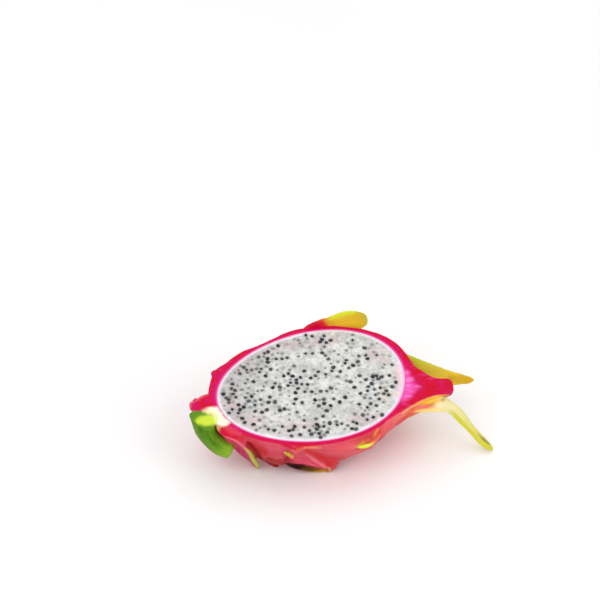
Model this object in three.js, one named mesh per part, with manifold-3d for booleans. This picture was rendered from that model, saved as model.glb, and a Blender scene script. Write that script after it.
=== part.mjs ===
// One half of a white-fleshed dragon fruit, lying on its back with the cut face up and leaning
// a little forward.
// The fruit was halved lengthwise, through the stem stub at one end and the neck at the other.
// Millimetres, +Z up, +X from the stem to the neck, -Y towards the side that the cut face leans to.
// The origin is the middle of the small flat spot that the belly rests on.
//
// Shapes are worked out in the cut frame: x and y lie in the cut face, and the flesh is below z = 0.
// Angles round the fruit run from the back rim (0) over the belly (90) to the front rim (180).
import * as THREE from "three";
import { mergeVertices } from "three/addons/utils/BufferGeometryUtils.js";
import Module from "manifold-3d";

const wasm = await Module();
wasm.setup();

// ---- Driving dimensions ----
const LEAN = 11; // degrees that the cut face leans forward
const FLAT_SPOT_DEPTH = 1.5; // how much of the belly the resting spot takes away
const GAP = 0.3; // clearance between pieces that touch
// Both are ellipsoids, skewed in y along x and made slightly three-sided in the cut face.
const FLESH = { halfLength: 49.7, halfWidth: 37.0, depth: 34.4, x: 0.4, y: 1.0, skew: 0.092, lump: 0.027 };
const BODY = { halfLength: 54.4, halfWidth: 39.7, depth: 37.4, x: 0.5, y: 1.4, skew: 0.08, lump: 0.02 };
// The neck runs along x. flare: what it widens by per mm towards the body; blend: how softly it
// grows out of the body; bend: where the skin's axis swings from the body's to the neck's.
const NECK = {
  y: -6.5,
  endX: 72.6,
  endRound: 3.5,
  halfWidth: 4.9,
  flare: 0.04,
  deeper: 1.3,
  blend: 13.5,
  bend: [38, 60],
};
// proud and root: how far a seed stands out of the cut face and goes into it; margin: the seedless
// edge; apart: least distance between seeds; draw: seed of the random draw that places them.
const SEEDS = {
  count: 200,
  width: 1.3,
  length: 1.9,
  proud: 0.45,
  root: 0.9,
  margin: 3.2,
  apart: 2.9,
  draw: 7,
};
// How finely the curved surfaces are divided. The skin is coarse above the cut, where it is cut away.
const EGG_DIVISIONS = { around: 44, along: 22 };
const SKIN_DIVISIONS = { stations: 54, lowerSides: 40, upperSides: 6 };
const LEAF_DIVISIONS = { rows: 12, sides: 8 };
const STEM_DIVISIONS = { rows: 14, sides: 16 };

// Swells: broad shallow rises and hollows of the skin. at: x and angle; reach: mm along and around.
const SWELLS = [
  { at: [-50, 4], reach: [6, 9], rise: 1.7 },
  { at: [-22, 8], reach: [18, 20], rise: -1.1 },
  { at: [-1, 0], reach: [13, 12], rise: 1.3 },
  { at: [35, 176], reach: [10, 12], rise: -1.3 },
];
// Swells and pads fade out where the skin comes this close to its axis, at the two ends.
const RELIEF_FADE = 14;
// Pads: the thick root of each scale. at: x and angle of the root; turn: degrees towards the front rim.
const PADS = [
  { at: [-48, 148], turn: 0, length: 30, width: 23, rise: 3.3 },
  { at: [-4, 160], turn: 0, length: 32, width: 25, rise: 2.3 },
  { at: [-26, 132], turn: 6, length: 32, width: 24, rise: 3.0 },
  { at: [-50, 104], turn: 4, length: 26, width: 20, rise: 2.0 },
  { at: [-48, 52], turn: -2, length: 30, width: 22, rise: 2.4 },
  { at: [-20, 62], turn: 0, length: 32, width: 24, rise: 2.2 },
  { at: [8, 34], turn: 2, length: 30, width: 22, rise: 2.2 },
  { at: [-44, 22], turn: 0, length: 28, width: 18, rise: 2.0 },
  { at: [17, 76], turn: 0, length: 32, width: 22, rise: 2.2 },
  { at: [16, 122], turn: 4, length: 34, width: 22, rise: 2.2 },
];

// A pad narrows from root to tip, climbs along its length, drops off past the tip and at its sides.
// All are shares: of the pad's length for climb and drop, of its half width for the rest.
const PAD_SHAPE = {
  rootWidth: 1.25,
  narrowing: 0.6,
  climb: [-0.1, 0.85],
  drop: [0.94, 1.08],
  sides: [0.5, 1.05],
};

// Leaves: the free ends of the scales. path: x, y, z and width from root to tip; outer: which way
// the outer side faces at the root and at the tip; thickness: at the root and at the tip; arch: how
// far the edges bend inwards, as a share of the half width.
// Every leaf rounds off over the last share of its length, down to a least share of its width.
const LEAF_TIP = { rounds: 0.1, least: 0.15 };
const LEAVES = {
  behindNeck: {
    path: [
      [38, 24, -9, 12], [50, 15, -6.4, 11.5], [60.4, 9.8, -7.2, 10.4], [72, 5, -7.6, 8.4],
      [80.4, 2.8, -8.4, 4.6], [85, 2, -8.2, 1.8],
    ],
    outer: [[0.2, 0.7, -0.65], [0.2, 0.7, -0.65]],
    thickness: [2.4, 1.4],
    arch: 0.2,
  },
  longBeforeNeck: {
    path: [
      [42, -12, -8, 10], [52, -13.6, -6.8, 11.5], [59.3, -14.2, -5.8, 11.8], [65, -14.2, -6.1, 11.2],
      [69.2, -14.5, -8.7, 10.2], [73.2, -15.9, -12.2, 9.4], [77.4, -17.8, -17.2, 9], [82, -20, -22.6, 8.8],
      [85.8, -22.3, -26.3, 8.2], [89.5, -24.8, -29, 6.8], [91.9, -26.4, -30, 5],
    ],
    outer: [[0, -0.15, -1], [-0.7, 0.15, -0.65]],
    thickness: [2.8, 1.7],
    arch: 0.3,
  },
  underNeck: {
    path: [[38, 7, -20, 10], [48, 4, -17, 11], [56, 2.6, -14.6, 8], [63, 2, -14.4, 2]],
    outer: [[0, 0.1, -1], [0, 0.1, -1]],
    thickness: [2.6, 1.6],
    arch: 0.2,
  },
  besideStem: {
    path: [
      [-49, -22, 6, 12], [-47.6, -24.6, 0, 13], [-45.4, -26.4, -5, 13], [-42.6, -27.2, -10, 12],
      [-39.4, -27.4, -15.5, 10], [-35.9, -27.6, -21.5, 6.6], [-32.2, -26.8, -29.8, 1.6],
    ],
    outer: [[-0.6, -0.8, 0], [-0.75, -0.6, -0.2]],
    thickness: [8, 1.6],
    arch: 0.2,
  },
  frontBroad: {
    path: [
      [-26, -25, -21, 20], [-18, -29.6, -22.2, 25], [-10, -32.2, -23.6, 23],
      [-2.5, -33.4, -25.8, 14.5], [3, -33.6, -28, 7], [6, -33, -29.4, 2.5],
    ],
    outer: [[0, -0.85, -0.5], [0.25, -0.85, -0.45]],
    thickness: [3, 1.8],
    arch: 0.25,
  },
  frontCurledTip: {
    path: [[30, -27, -7, 5], [28, -32.8, -6.2, 5], [23.6, -37.2, -5.2, 4], [17.4, -38.9, -4, 1]],
    outer: [[0.2, -0.9, -0.3], [0, -0.9, -0.3]],
    thickness: [1.6, 1.0],
    arch: 0.1,
  },
  frontSmallTip: {
    path: [
      [-12.5, -34, -15, 5], [-15, -36.6, -11.6, 4.6], [-17.6, -38, -7.8, 3.2],
      [-19.8, -38.3, -4.8, 1],
    ],
    outer: [[-0.2, -0.9, -0.3], [-0.1, -0.95, -0.2]],
    thickness: [1.6, 1.0],
    arch: 0.1,
  },
};
// This leaf springs up past the cut face behind the back rim.
const BACK_LEAF = {
  path: [
    [-8, 36, -12, 8], [3, 40.6, -5.5, 10], [13, 42.4, -0.6, 12], [23, 42.6, 2.2, 13],
    [30.5, 41.8, 0.8, 11], [33.6, 41.2, -0.6, 6.5],
  ],
  outer: [[0, 0.97, -0.25], [0, 0.97, -0.25]],
  thickness: [2.4, 1.4],
  arch: 0.2,
};
// At the base: the lobe that the knife went through, and the collar of pith that holds the stem.
const BASE_LOBE = {
  path: [
    [-46, -2, -3.5, 13], [-54, -3.8, -3.4, 12], [-60.5, -5.4, -2.8, 10.6],
    [-65.4, -6.6, -2.2, 8.4],
  ],
  outer: [[0, 0, -1], [0, 0, -1]],
  thickness: [9, 5.4],
  arch: 0,
};
const COLLAR = {
  path: [[-42, -8, -6, 17], [-50, -11.6, -5.5, 17], [-55, -13.6, -5, 16], [-59, -15, -4.5, 12]],
  outer: [[0, 0, -1], [0, 0, -1]],
  thickness: [15, 13],
  arch: 0,
};
const STEM = {
  path: [
    [-59.6, -15.2, 7, 12], [-59.7, -16.3, 0, 12], [-58.4, -19, -4.8, 11.4],
    [-55, -21.8, -9.4, 10.4], [-50.6, -23.6, -13.2, 9.6], [-45.4, -24.4, -16.4, 8.8],
  ],
  outer: [[-0.7, -0.6, -0.3], [-0.7, -0.6, -0.3]],
  thickness: [10.8, 8.4],
  arch: 0,
};
// Leaves that lie along a pad and lift off its tip. start: share of the pad's length where the leaf
// begins; lift: how far the tip stands off.
const PAD_LEAVES = [
  { pad: 3, start: 0.6, length: 18, lift: 2, width: 15 },
  { pad: 4, start: 0.6, length: 24, lift: 7, width: 15 },
  { pad: 5, start: 0.62, length: 26, lift: 7, width: 17 },
  { pad: 6, start: 0.6, length: 27, lift: 8, width: 15 },
  { pad: 7, start: 0.62, length: 22, lift: 6, width: 13 },
  { pad: 8, start: 0.6, length: 28, lift: 6, width: 15 },
  { pad: 9, start: 0.62, length: 24, lift: 4, width: 15 },
];

// Their shape: width at five shares of the length, how deep the root is set in the pad, and where
// along the leaf the pad under it falls back to the bare skin.
const PAD_LEAF = {
  shares: [0, 0.3, 0.6, 0.85, 1],
  widths: [0.9, 1, 0.85, 0.45, 0.12],
  rootDepth: 1,
  padFalls: [0.5, 1],
  thickness: [2.8, 1.6],
  arch: 0.25,
};

// ---- Small helpers ----
const MERGE_DISTANCE = 1e-4; // mm, under which two corners are one
const vec = (x, y, z) => new THREE.Vector3(x, y, z);
const radians = THREE.MathUtils.degToRad;
const clamp01 = (v) => THREE.MathUtils.clamp(v, 0, 1);
const smooth = (from, to, v) => THREE.MathUtils.smoothstep(v, from, to);
const smoothMin = (a, b, blend) => {
  const h = Math.max(blend - Math.abs(a - b), 0) / blend;
  return Math.min(a, b) - (h * h * blend) / 4;
};
// A seeded draw of numbers from 0 to 1.
function seededDraw(seed) {
  let state = seed;
  return () => {
    state = (Math.imul(state, 1664525) + 1013904223) >>> 0;
    return state / 2 ** 32;
  };
}
function solidOf(geometry) {
  const bare = new THREE.BufferGeometry();
  bare.setAttribute("position", geometry.getAttribute("position"));
  bare.setIndex(geometry.index);
  const merged = mergeVertices(bare, MERGE_DISTANCE);
  return new wasm.Manifold(
    new wasm.Mesh({
      numProp: 3,
      vertProperties: merged.attributes.position.array,
      triVerts: new Uint32Array(merged.index.array),
    }),
  );
}
function geometryOf(solid) {
  const mesh = solid.getMesh();
  const geometry = new THREE.BufferGeometry();
  geometry.setAttribute("position", new THREE.BufferAttribute(mesh.vertProperties, 3));
  geometry.setIndex(new THREE.BufferAttribute(mesh.triVerts, 1));
  geometry.computeVertexNormals();
  return geometry;
}
// A closed solid from rings of equal size: each ring joins the next, and both ends close on their
// middle point. Each ring turns anticlockwise for someone whom the rings travel towards.
function solidFromRings(rings) {
  const count = rings[0].length;
  const middle = (ring) => ring.reduce((sum, p) => sum.add(p), vec(0, 0, 0)).divideScalar(count);
  const points = [...rings.flat(), middle(rings[0]), middle(rings.at(-1))];
  const startMiddle = rings.length * count;
  const lastRing = startMiddle - count;
  const index = [];
  for (let c = 0; c < count; c++) {
    const next = (c + 1) % count;
    for (let r = 0; r < lastRing; r += count)
      index.push(r + c, r + next, r + count + next, r + c, r + count + next, r + count + c);
    index.push(startMiddle, next, c, startMiddle + 1, lastRing + c, lastRing + next);
  }
  const geometry = new THREE.BufferGeometry().setFromPoints(points);
  return solidOf(geometry.setIndex(index));
}

// ---- The body: a slightly three-sided ellipsoid that the neck grows out of ----
const middleY = (egg, x) => egg.y + egg.skew * (x - egg.x);
// How far the point is from the egg's middle, as a share of the way to its surface.
function eggShare(egg, x, y, z) {
  const u = (x - egg.x) / egg.halfLength;
  const v = (y - middleY(egg, x)) / egg.halfWidth;
  const share = Math.hypot(u, v, z / egg.depth);
  return share / (1 - (egg.lump * (u ** 3 - 3 * u * v * v)) / share ** 3);
}
function skinDistance(x, y, z) {
  const body = (eggShare(BODY, x, y, z) - 1) * BODY.halfWidth;
  const behind = Math.max(0, -x); // the neck has no part in the base half
  const intoEnd = clamp01(1 - (NECK.endX - x) / NECK.endRound);
  const neckRadius = (NECK.halfWidth + NECK.flare * (NECK.endX - x)) * Math.cbrt(1 - intoEnd ** 3);
  return smoothMin(body, Math.hypot(y - NECK.y, z / NECK.deeper) - neckRadius + behind, NECK.blend);
}
const axisY = (x) => THREE.MathUtils.lerp(middleY(BODY, x), NECK.y, smooth(...NECK.bend, x));
// How far the bare skin is from the axis at x, in the direction of the angle (radians). The span in
// which it must lie is halved again and again.
const WIDEST_RADIUS = 70;
const HALVINGS = 26;
function skinRadius(x, angle) {
  let inside = 0;
  let outside = WIDEST_RADIUS;
  for (let step = 0; step < HALVINGS; step++) {
    const r = (inside + outside) / 2;
    if (skinDistance(x, axisY(x) + r * Math.cos(angle), -r * Math.sin(angle)) < 0) {
      inside = r;
    } else {
      outside = r;
    }
  }
  return inside;
}
// How far swells and pads lift the skin. Around the fruit, angles count as arc lengths at the skin's
// radius, or at a least radius near the ends.
const LEAST_ARC_RADIUS = 10;
function skinRise(x, angle, radius) {
  const arc = (degrees) => (angle - radians(degrees)) * Math.max(radius, LEAST_ARC_RADIUS);
  let swell = 0;
  for (const { at, reach, rise } of SWELLS) {
    const away = Math.hypot((x - at[0]) / reach[0], arc(at[1]) / reach[1]);
    swell += rise * (1 - smooth(0, 1, away));
  }
  let pad = 0;
  for (const { at, turn, length, width, rise } of PADS) {
    const dx = x - at[0];
    const [cos, sin] = [Math.cos(radians(turn)), Math.sin(radians(turn))];
    const along = (dx * cos + arc(at[1]) * sin) / length;
    const across = arc(at[1]) * cos - dx * sin;
    const halfWidth = (width / 2) * (PAD_SHAPE.rootWidth - PAD_SHAPE.narrowing * clamp01(along));
    const climb = smooth(...PAD_SHAPE.climb, along) * (1 - smooth(...PAD_SHAPE.drop, along));
    const side = 1 - smooth(...PAD_SHAPE.sides, Math.abs(across) / halfWidth);
    pad = Math.max(pad, rise * climb * side);
  }
  return (swell + pad) * smooth(0, RELIEF_FADE, radius);
}
function skinPoint(x, angle) {
  const bare = skinRadius(x, angle);
  const r = bare + skinRise(x, angle, bare);
  return vec(x, axisY(x) + r * Math.cos(angle), -r * Math.sin(angle));
}

// ---- A leaf: a strip along a smooth path, with an oval section and a rounded tip ----
const curveThrough = (points) => new THREE.CatmullRomCurve3(points, false, "catmullrom");
function leaf({ path, outer, thickness, arch }, { rows, sides } = LEAF_DIVISIONS, grow = 0) {
  const middles = curveThrough(path.map(([x, y, z]) => vec(x, y, z)));
  const widths = curveThrough(path.map(([, , , width]) => vec(width, 0, 0)));
  const rings = [];
  for (let row = 0; row <= rows; row++) {
    const evenly = row / rows;
    const s = evenly * (1.5 - 0.5 * evenly); // rows crowd towards the tip
    const along = middles.getTangent(s);
    const out = vec(...outer[0]).lerp(vec(...outer[1]), s);
    out.addScaledVector(along, -out.dot(along)).normalize();
    const across = out.clone().cross(along);
    const intoTip = clamp01((s - 1 + LEAF_TIP.rounds) / LEAF_TIP.rounds);
    const tip = Math.max(LEAF_TIP.least, Math.sqrt(1 - intoTip ** 2));
    const halfWidth = (widths.getPoint(s).x / 2) * tip + grow;
    const halfThick = (THREE.MathUtils.lerp(...thickness, s) / 2) * tip + grow;
    const ring = [];
    for (let side = 0; side < sides; side++) {
      const turn = (2 * Math.PI * side) / sides;
      const lift = Math.sin(turn) * halfThick - arch * halfWidth * Math.cos(turn) ** 2;
      const point = middles.getPoint(s).addScaledVector(across, Math.cos(turn) * halfWidth);
      ring.push(point.addScaledVector(out, lift));
    }
    rings.push(ring);
  }
  return solidFromRings(rings);
}
function padLeaf({ pad, start, length, lift, width }) {
  const { at, turn, rise } = PADS[pad];
  const { shares, widths, rootDepth, padFalls, thickness, arch } = PAD_LEAF;
  const begin = PADS[pad].length * start;
  const radius = skinRadius(at[0] + begin, radians(at[1]));
  const path = shares.map((share, i) => {
    const s = begin + length * share;
    const x = at[0] + s * Math.cos(radians(turn));
    const angle = radians(at[1]) + (s * Math.sin(radians(turn))) / radius;
    const skin = skinRadius(x, angle) + rise * (1 - smooth(...padFalls, share));
    const r = skin - rootDepth + (lift + rootDepth) * share * share;
    return [x, axisY(x) + r * Math.cos(angle), -r * Math.sin(angle), width * widths[i]];
  });
  const out = [0, Math.cos(radians(at[1])), -Math.sin(radians(at[1]))];
  return leaf({ path, outer: [out, out], thickness, arch });
}

// ---- The cut frame's place in the part's frame ----
// The belly's lowest point is where the ellipsoid's normal points straight down once the fruit leans.
const [leanCos, leanSin] = [Math.cos(radians(LEAN)), Math.sin(radians(LEAN))];
const bellyReach = Math.hypot(BODY.halfWidth * leanSin, BODY.depth * leanCos);
const bellyPoint = vec(
  BODY.x,
  BODY.y - (BODY.halfWidth ** 2 * leanSin) / bellyReach,
  -(BODY.depth ** 2 * leanCos) / bellyReach,
);
const restFrame = new THREE.Matrix4().makeRotationX(radians(LEAN));
bellyPoint.applyMatrix4(restFrame).negate();
restFrame.setPosition(bellyPoint.x, bellyPoint.y, bellyPoint.z - FLAT_SPOT_DEPTH);

// ---- Cutting tools ----
const BLOCK = 400; // far larger than the fruit
const block = () => new THREE.BoxGeometry(BLOCK, BLOCK, BLOCK);
const aboveCut = solidOf(block().translate(0, 0, BLOCK / 2));
const toCutFrame = restFrame.clone().invert();
const belowFloor = solidOf(block().translate(0, 0, -BLOCK / 2).applyMatrix4(toCutFrame));

// ---- Flesh: its egg below the cut, with the seeds standing proud of the cut face ----
function fleshEgg(grow) {
  const { around, along } = EGG_DIVISIONS;
  const egg = new THREE.SphereGeometry(1, around, along).rotateZ(Math.PI / 2);
  const points = egg.getAttribute("position");
  for (let i = 0; i < points.count; i++) {
    const [u, v, w] = [points.getX(i), points.getY(i), points.getZ(i)];
    const share = 1 - FLESH.lump * (u ** 3 - 3 * u * v * v);
    const x = u * (FLESH.halfLength * share + grow);
    const y = v * (FLESH.halfWidth * share + grow) + FLESH.skew * x;
    points.setXYZ(i, x, y, w * (FLESH.depth * share + grow));
  }
  return solidOf(egg.translate(FLESH.x, FLESH.y, 0));
}
function fleshSolid() {
  const draw = seededDraw(SEEDS.draw);
  const rim = 1 - SEEDS.margin / FLESH.halfWidth;
  const placed = [];
  const seeds = [];
  while (placed.length < SEEDS.count) {
    const x = FLESH.x + (2 * draw() - 1) * FLESH.halfLength;
    const y = FLESH.y + (2 * draw() - 1) * FLESH.halfWidth;
    const turn = Math.PI * draw();
    if (eggShare(FLESH, x, y, 0) > rim) continue;
    if (placed.some(([px, py]) => Math.hypot(px - x, py - y) < SEEDS.apart)) continue;
    placed.push([x, y]);
    // a four-sided cone that is seed-sized where it leaves the cut face
    const height = SEEDS.proud + SEEDS.root;
    const spread = height / SEEDS.proud / 2;
    const seed = new THREE.ConeGeometry(spread, height, 4, 1).rotateX(Math.PI / 2);
    seed.scale(SEEDS.length, SEEDS.width, 1).rotateZ(turn);
    seeds.push(solidOf(seed.translate(x, y, SEEDS.proud - height / 2)));
  }
  return seeds.reduce((flesh, seed) => flesh.add(seed), fleshEgg(0).subtract(aboveCut));
}

// ---- Peel: the skin with its neck, pads and leaves, hollowed for the flesh ----
const SHORT_OF_POLE = 0.05; // the first and last rings stop just short of the skin's two ends
function wholeSkin() {
  const { stations, lowerSides, upperSides } = SKIN_DIVISIONS;
  const startX = BODY.x - BODY.halfLength * (1 + BODY.lump) + SHORT_OF_POLE;
  const length = NECK.endX - SHORT_OF_POLE - startX;
  const angles = [];
  for (let side = 0; side < lowerSides; side++) angles.push((Math.PI * side) / lowerSides);
  for (let side = 0; side < upperSides; side++) angles.push(Math.PI * (1 + side / upperSides));
  const rings = [];
  for (let station = 0; station <= stations; station++) {
    // stations crowd towards the blunt base and the neck's end
    const x = startX + length * (0.5 - 0.5 * Math.cos((Math.PI * station) / stations));
    rings.push(angles.map((angle) => skinPoint(x, angle)).reverse());
  }
  return solidFromRings(rings);
}
const stemSolid = (grow) => leaf(STEM, STEM_DIVISIONS, grow);
function peelSolid() {
  const skin = wholeSkin();
  const leaves = [...Object.values(LEAVES), BASE_LOBE, COLLAR].map((one) => leaf(one));
  const whole = [...leaves, ...PAD_LEAVES.map(padLeaf)].reduce((sum, one) => sum.add(one), skin);
  const sprung = leaf(BACK_LEAF).subtract(skin.intersect(aboveCut));
  const cup = whole.subtract(aboveCut).add(sprung).subtract(fleshEgg(GAP));
  return cup.subtract(stemSolid(GAP)).subtract(belowFloor);
}

// ---- The part ----
const finish = {
  peel: new THREE.MeshStandardMaterial({ color: 0xd9486a, roughness: 0.42, metalness: 0 }),
  flesh: new THREE.MeshStandardMaterial({ color: 0xe6e6e2, roughness: 0.3, metalness: 0 }),
  stem: new THREE.MeshStandardMaterial({ color: 0x6f9a2c, roughness: 0.45, metalness: 0 }),
};
const part = new THREE.Group();
const fruit = new THREE.Group();
restFrame.decompose(fruit.position, fruit.quaternion, fruit.scale);
part.add(fruit);
function addNode(name, solid) {
  const mesh = new THREE.Mesh(geometryOf(solid), finish[name]);
  mesh.name = name;
  fruit.add(mesh);
}
addNode("peel", peelSolid());
addNode("flesh", fleshSolid());
addNode("stem", stemSolid(0).subtract(aboveCut));

export default part;
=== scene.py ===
import math

import bmesh
import bpy
import numpy as np
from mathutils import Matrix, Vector


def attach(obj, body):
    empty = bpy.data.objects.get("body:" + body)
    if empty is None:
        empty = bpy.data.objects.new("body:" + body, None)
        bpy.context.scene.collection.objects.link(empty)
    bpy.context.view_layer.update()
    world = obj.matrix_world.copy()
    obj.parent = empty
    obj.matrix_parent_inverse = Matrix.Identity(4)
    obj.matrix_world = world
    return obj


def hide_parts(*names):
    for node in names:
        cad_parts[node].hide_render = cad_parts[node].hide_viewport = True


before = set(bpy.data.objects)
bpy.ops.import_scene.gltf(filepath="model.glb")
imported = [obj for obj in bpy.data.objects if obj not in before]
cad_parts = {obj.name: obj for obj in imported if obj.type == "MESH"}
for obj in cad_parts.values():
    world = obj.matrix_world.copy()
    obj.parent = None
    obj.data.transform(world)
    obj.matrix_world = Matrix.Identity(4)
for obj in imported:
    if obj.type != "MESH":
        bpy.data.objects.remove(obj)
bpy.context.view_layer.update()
scene = bpy.context.scene
print("frame loaded:", sorted(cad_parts))

# The fruit's main measures. Body and pulp are eggs: half sizes, the middle's place, how much y shifts
# with x, and how much they swell on three sides. The neck has its half width at the end, how much that
# widens along x, how much deeper than wide it is, and over what distance it blends into the body.
fruit = {
    "lean": 11.0,  # degrees that the cut face leans to the front
    "flatSpot": 1.5,  # how much of the belly the resting spot takes away
    "seam": 0.06,  # clearance between flesh and peel
}
body = {"length": 54.4, "width": 39.7, "depth": 37.4, "x": 0.5, "y": 1.4, "skew": 0.08, "lump": 0.02}
pulp = {"length": 49.7, "width": 37.0, "depth": 34.4, "x": 0.4, "y": 1.0, "skew": 0.092, "lump": 0.027}
neck = {
    "y": -6.5, "endX": 72.6, "endRound": 3.5, "width": 4.9, "flare": 0.04, "deeper": 1.3, "blend": 13.5,
    "axisBend": (38, 60),  # where along x the fruit's axis moves over to the neck's
}


# 0 below low, 1 above high, and 3t^2 - 2t^3 of the share t between them. Low may be the larger one.
def smooth(low, high, value):
    share = np.clip((value - low) / (high - low), 0, 1)
    return share * share * (3 - 2 * share)


# Vectors divided by their lengths.
def unit(vectors):
    return vectors / np.linalg.norm(vectors, axis=-1, keepdims=True)


# Angles that go once round in equal steps.
def onceRound(count):
    return 2 * np.pi * np.arange(count) / count


# Smooth noise from -1 to 1: random values at the corners of a lattice, blended between them.
def noiseField(points, cell, seed, size=64):
    table = np.random.default_rng(seed).uniform(-1, 1, (size, size, size))
    lattice = np.asarray(points, float) / cell + 1000  # keeps every place above 0
    base = np.floor(lattice).astype(int)
    part = smooth(0, 1, lattice - base)
    total = 0
    for corner in np.ndindex(2, 2, 2):
        share = np.prod(np.where(corner, part, 1 - part), axis=-1)
        at = (base + corner) % size
        total = total + share * table[at[..., 0], at[..., 1], at[..., 2]]
    return total


# A start value plus noise of several sizes. Each size has its height, its cell and its seed.
def noiseSum(points, sizes, start=0):
    return sum((height * noiseField(points, cell, seed) for height, cell, seed in sizes), start)


# The turn and the origin that carry the cut frame to the part's: turned by the lean about x, with the
# belly's lowest point under the floor by the flat spot.
def placeCutFrame():
    cos, sin = math.cos(math.radians(fruit["lean"])), math.sin(math.radians(fruit["lean"]))
    turn = np.array([[1, 0, 0], [0, cos, -sin], [0, sin, cos]])
    reach = math.hypot(body["width"] * sin, body["depth"] * cos)
    bellyY = body["y"] - body["width"] ** 2 * sin / reach
    belly = np.array([body["x"], bellyY, -body["depth"] ** 2 * cos / reach])
    return turn, -turn @ belly - np.array([0, 0, fruit["flatSpot"]])


cutTurn, cutOrigin = placeCutFrame()


# From the cut frame in millimetres to the part's frame in metres.
def toPart(points):
    return (points @ cutTurn.T + cutOrigin) * 0.001


# A mesh from arrays of points, of four-sided faces and of three-sided ones.
def meshFromArrays(name, points, quads, triangles):
    corners = np.concatenate([quads.ravel(), triangles.ravel()]).astype(np.int32)
    sizes = np.concatenate([np.full(len(quads), 4), np.full(len(triangles), 3)])
    starts = np.concatenate([[0], np.cumsum(sizes)[:-1]]).astype(np.int32)
    mesh = bpy.data.meshes.new(name)
    mesh.vertices.add(len(points))
    mesh.vertices.foreach_set("co", np.asarray(points, np.float32).ravel())
    mesh.loops.add(len(corners))
    mesh.loops.foreach_set("vertex_index", corners)
    mesh.polygons.add(len(sizes))
    mesh.polygons.foreach_set("loop_start", starts)
    mesh.update(calc_edges=True)
    return mesh


# A closed tube from an array of rings (rows x columns x 3). Each ring joins the next, and both ends
# close on their middle point. Rings turn anticlockwise for someone whom they travel towards.
def tube(rings, firstIndex=0):
    rows, columns = rings.shape[:2]
    points = np.vstack([rings.reshape(-1, 3), rings[0].mean(0), rings[-1].mean(0)])
    index = np.arange(rows * columns).reshape(rows, columns) + firstIndex
    here, ahead = index[:-1], index[1:]
    quads = np.stack([here, np.roll(here, -1, 1), np.roll(ahead, -1, 1), ahead], -1).reshape(-1, 4)
    middle = firstIndex + rows * columns
    startFan = np.stack([np.full(columns, middle), np.roll(index[0], -1), index[0]], -1)
    endFan = np.stack([np.full(columns, middle + 1), index[-1], np.roll(index[-1], -1)], -1)
    return points, quads, np.vstack([startFan, endFan])


# One mesh that holds a closed tube for each set of rings.
def meshFromTubes(name, ringSets):
    points, quads, triangles = [], [], []
    count = 0
    for rings in ringSets:
        some = tube(rings, count)
        points.append(some[0])
        quads.append(some[1])
        triangles.append(some[2])
        count += len(some[0])
    return meshFromArrays(name, np.vstack(points), np.vstack(quads), np.vstack(triangles))


# An object for a mesh, a lamp or a camera, linked to the scene.
def objectOf(name, data):
    thing = bpy.data.objects.new(name, data)
    scene.collection.objects.link(thing)
    return thing


# A mesh's points as an array.
def pointsOf(mesh):
    points = np.empty(len(mesh.vertices) * 3, np.float32)
    mesh.vertices.foreach_get("co", points)
    return points.reshape(-1, 3).astype(float)


# Moves a mesh's points to the given places.
def setPoints(mesh, points):
    mesh.vertices.foreach_set("co", np.asarray(points, np.float32).ravel())
    mesh.update()


# Two rows: the points where each edge starts and ends.
def edgesOf(mesh):
    edges = np.empty(len(mesh.edges) * 2, np.int32)
    mesh.edges.foreach_get("vertices", edges)
    return edges.reshape(-1, 2).T


# Every face is shaded smooth.
def shadeSmooth(mesh):
    mesh.polygons.foreach_set("use_smooth", np.ones(len(mesh.polygons), bool))


# Swaps a piece's mesh for what its modifiers make of it.
def applyModifiers(piece):
    bpy.context.view_layer.update()
    done = bpy.data.meshes.new_from_object(piece.evaluated_get(bpy.context.evaluated_depsgraph_get()))
    old = piece.data
    piece.modifiers.clear()
    piece.data = done
    bpy.data.meshes.remove(old)


# Takes numbered points out of a mesh: along with their faces, or merging the faces round each.
def takeOut(mesh, numbers, merge):
    shell = bmesh.new()
    shell.from_mesh(mesh)
    shell.verts.ensure_lookup_table()
    points = [shell.verts[int(k)] for k in numbers]
    if merge:
        bmesh.ops.dissolve_verts(shell, verts=points)
    else:
        bmesh.ops.delete(shell, geom=points, context="VERTS")
    shell.to_mesh(mesh)
    shell.free()


# Removes the small closed bubbles where tubes overlap. Points that edges join take on the lowest
# number among them, over and over, until each island has one number of its own.
def keepLargestIsland(mesh):
    first, second = edgesOf(mesh)
    island = np.arange(len(mesh.vertices))
    settled = False
    while not settled:
        before = island.copy()
        lower = np.minimum(before[first], before[second])
        np.minimum.at(island, before[first], lower)
        np.minimum.at(island, before[second], lower)
        island = island[island]
        settled = np.array_equal(island, before)
    takeOut(mesh, np.flatnonzero(island != np.bincount(island).argmax()), merge=False)


# Removes the points that only two edges meet in: the cuts leave them in the middle of an edge, where
# they would make flat slivers once the faces are split into triangles.
def dissolveInLine(mesh):
    meeting = np.bincount(edgesOf(mesh).ravel(), minlength=len(mesh.vertices))
    takeOut(mesh, np.flatnonzero(meeting == 2), merge=True)


# Fuses the tubes of a piece into one shell of small even faces.
def remesh(piece, voxel):
    modifier = piece.modifiers.new("remesh", "REMESH")
    modifier.mode = "VOXEL"
    modifier.voxel_size = voxel
    applyModifiers(piece)
    keepLargestIsland(piece.data)


# Cuts a piece with tools, one after the other, and clears the tools away.
def cutWith(piece, tools):
    for tool in tools:
        modifier = piece.modifiers.new("cut", "BOOLEAN")
        modifier.operation = "DIFFERENCE"
        modifier.solver = "MANIFOLD"
        modifier.object = tool
    applyModifiers(piece)
    for tool in tools:
        mesh = tool.data
        bpy.data.objects.remove(tool)
        bpy.data.meshes.remove(mesh)


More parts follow.
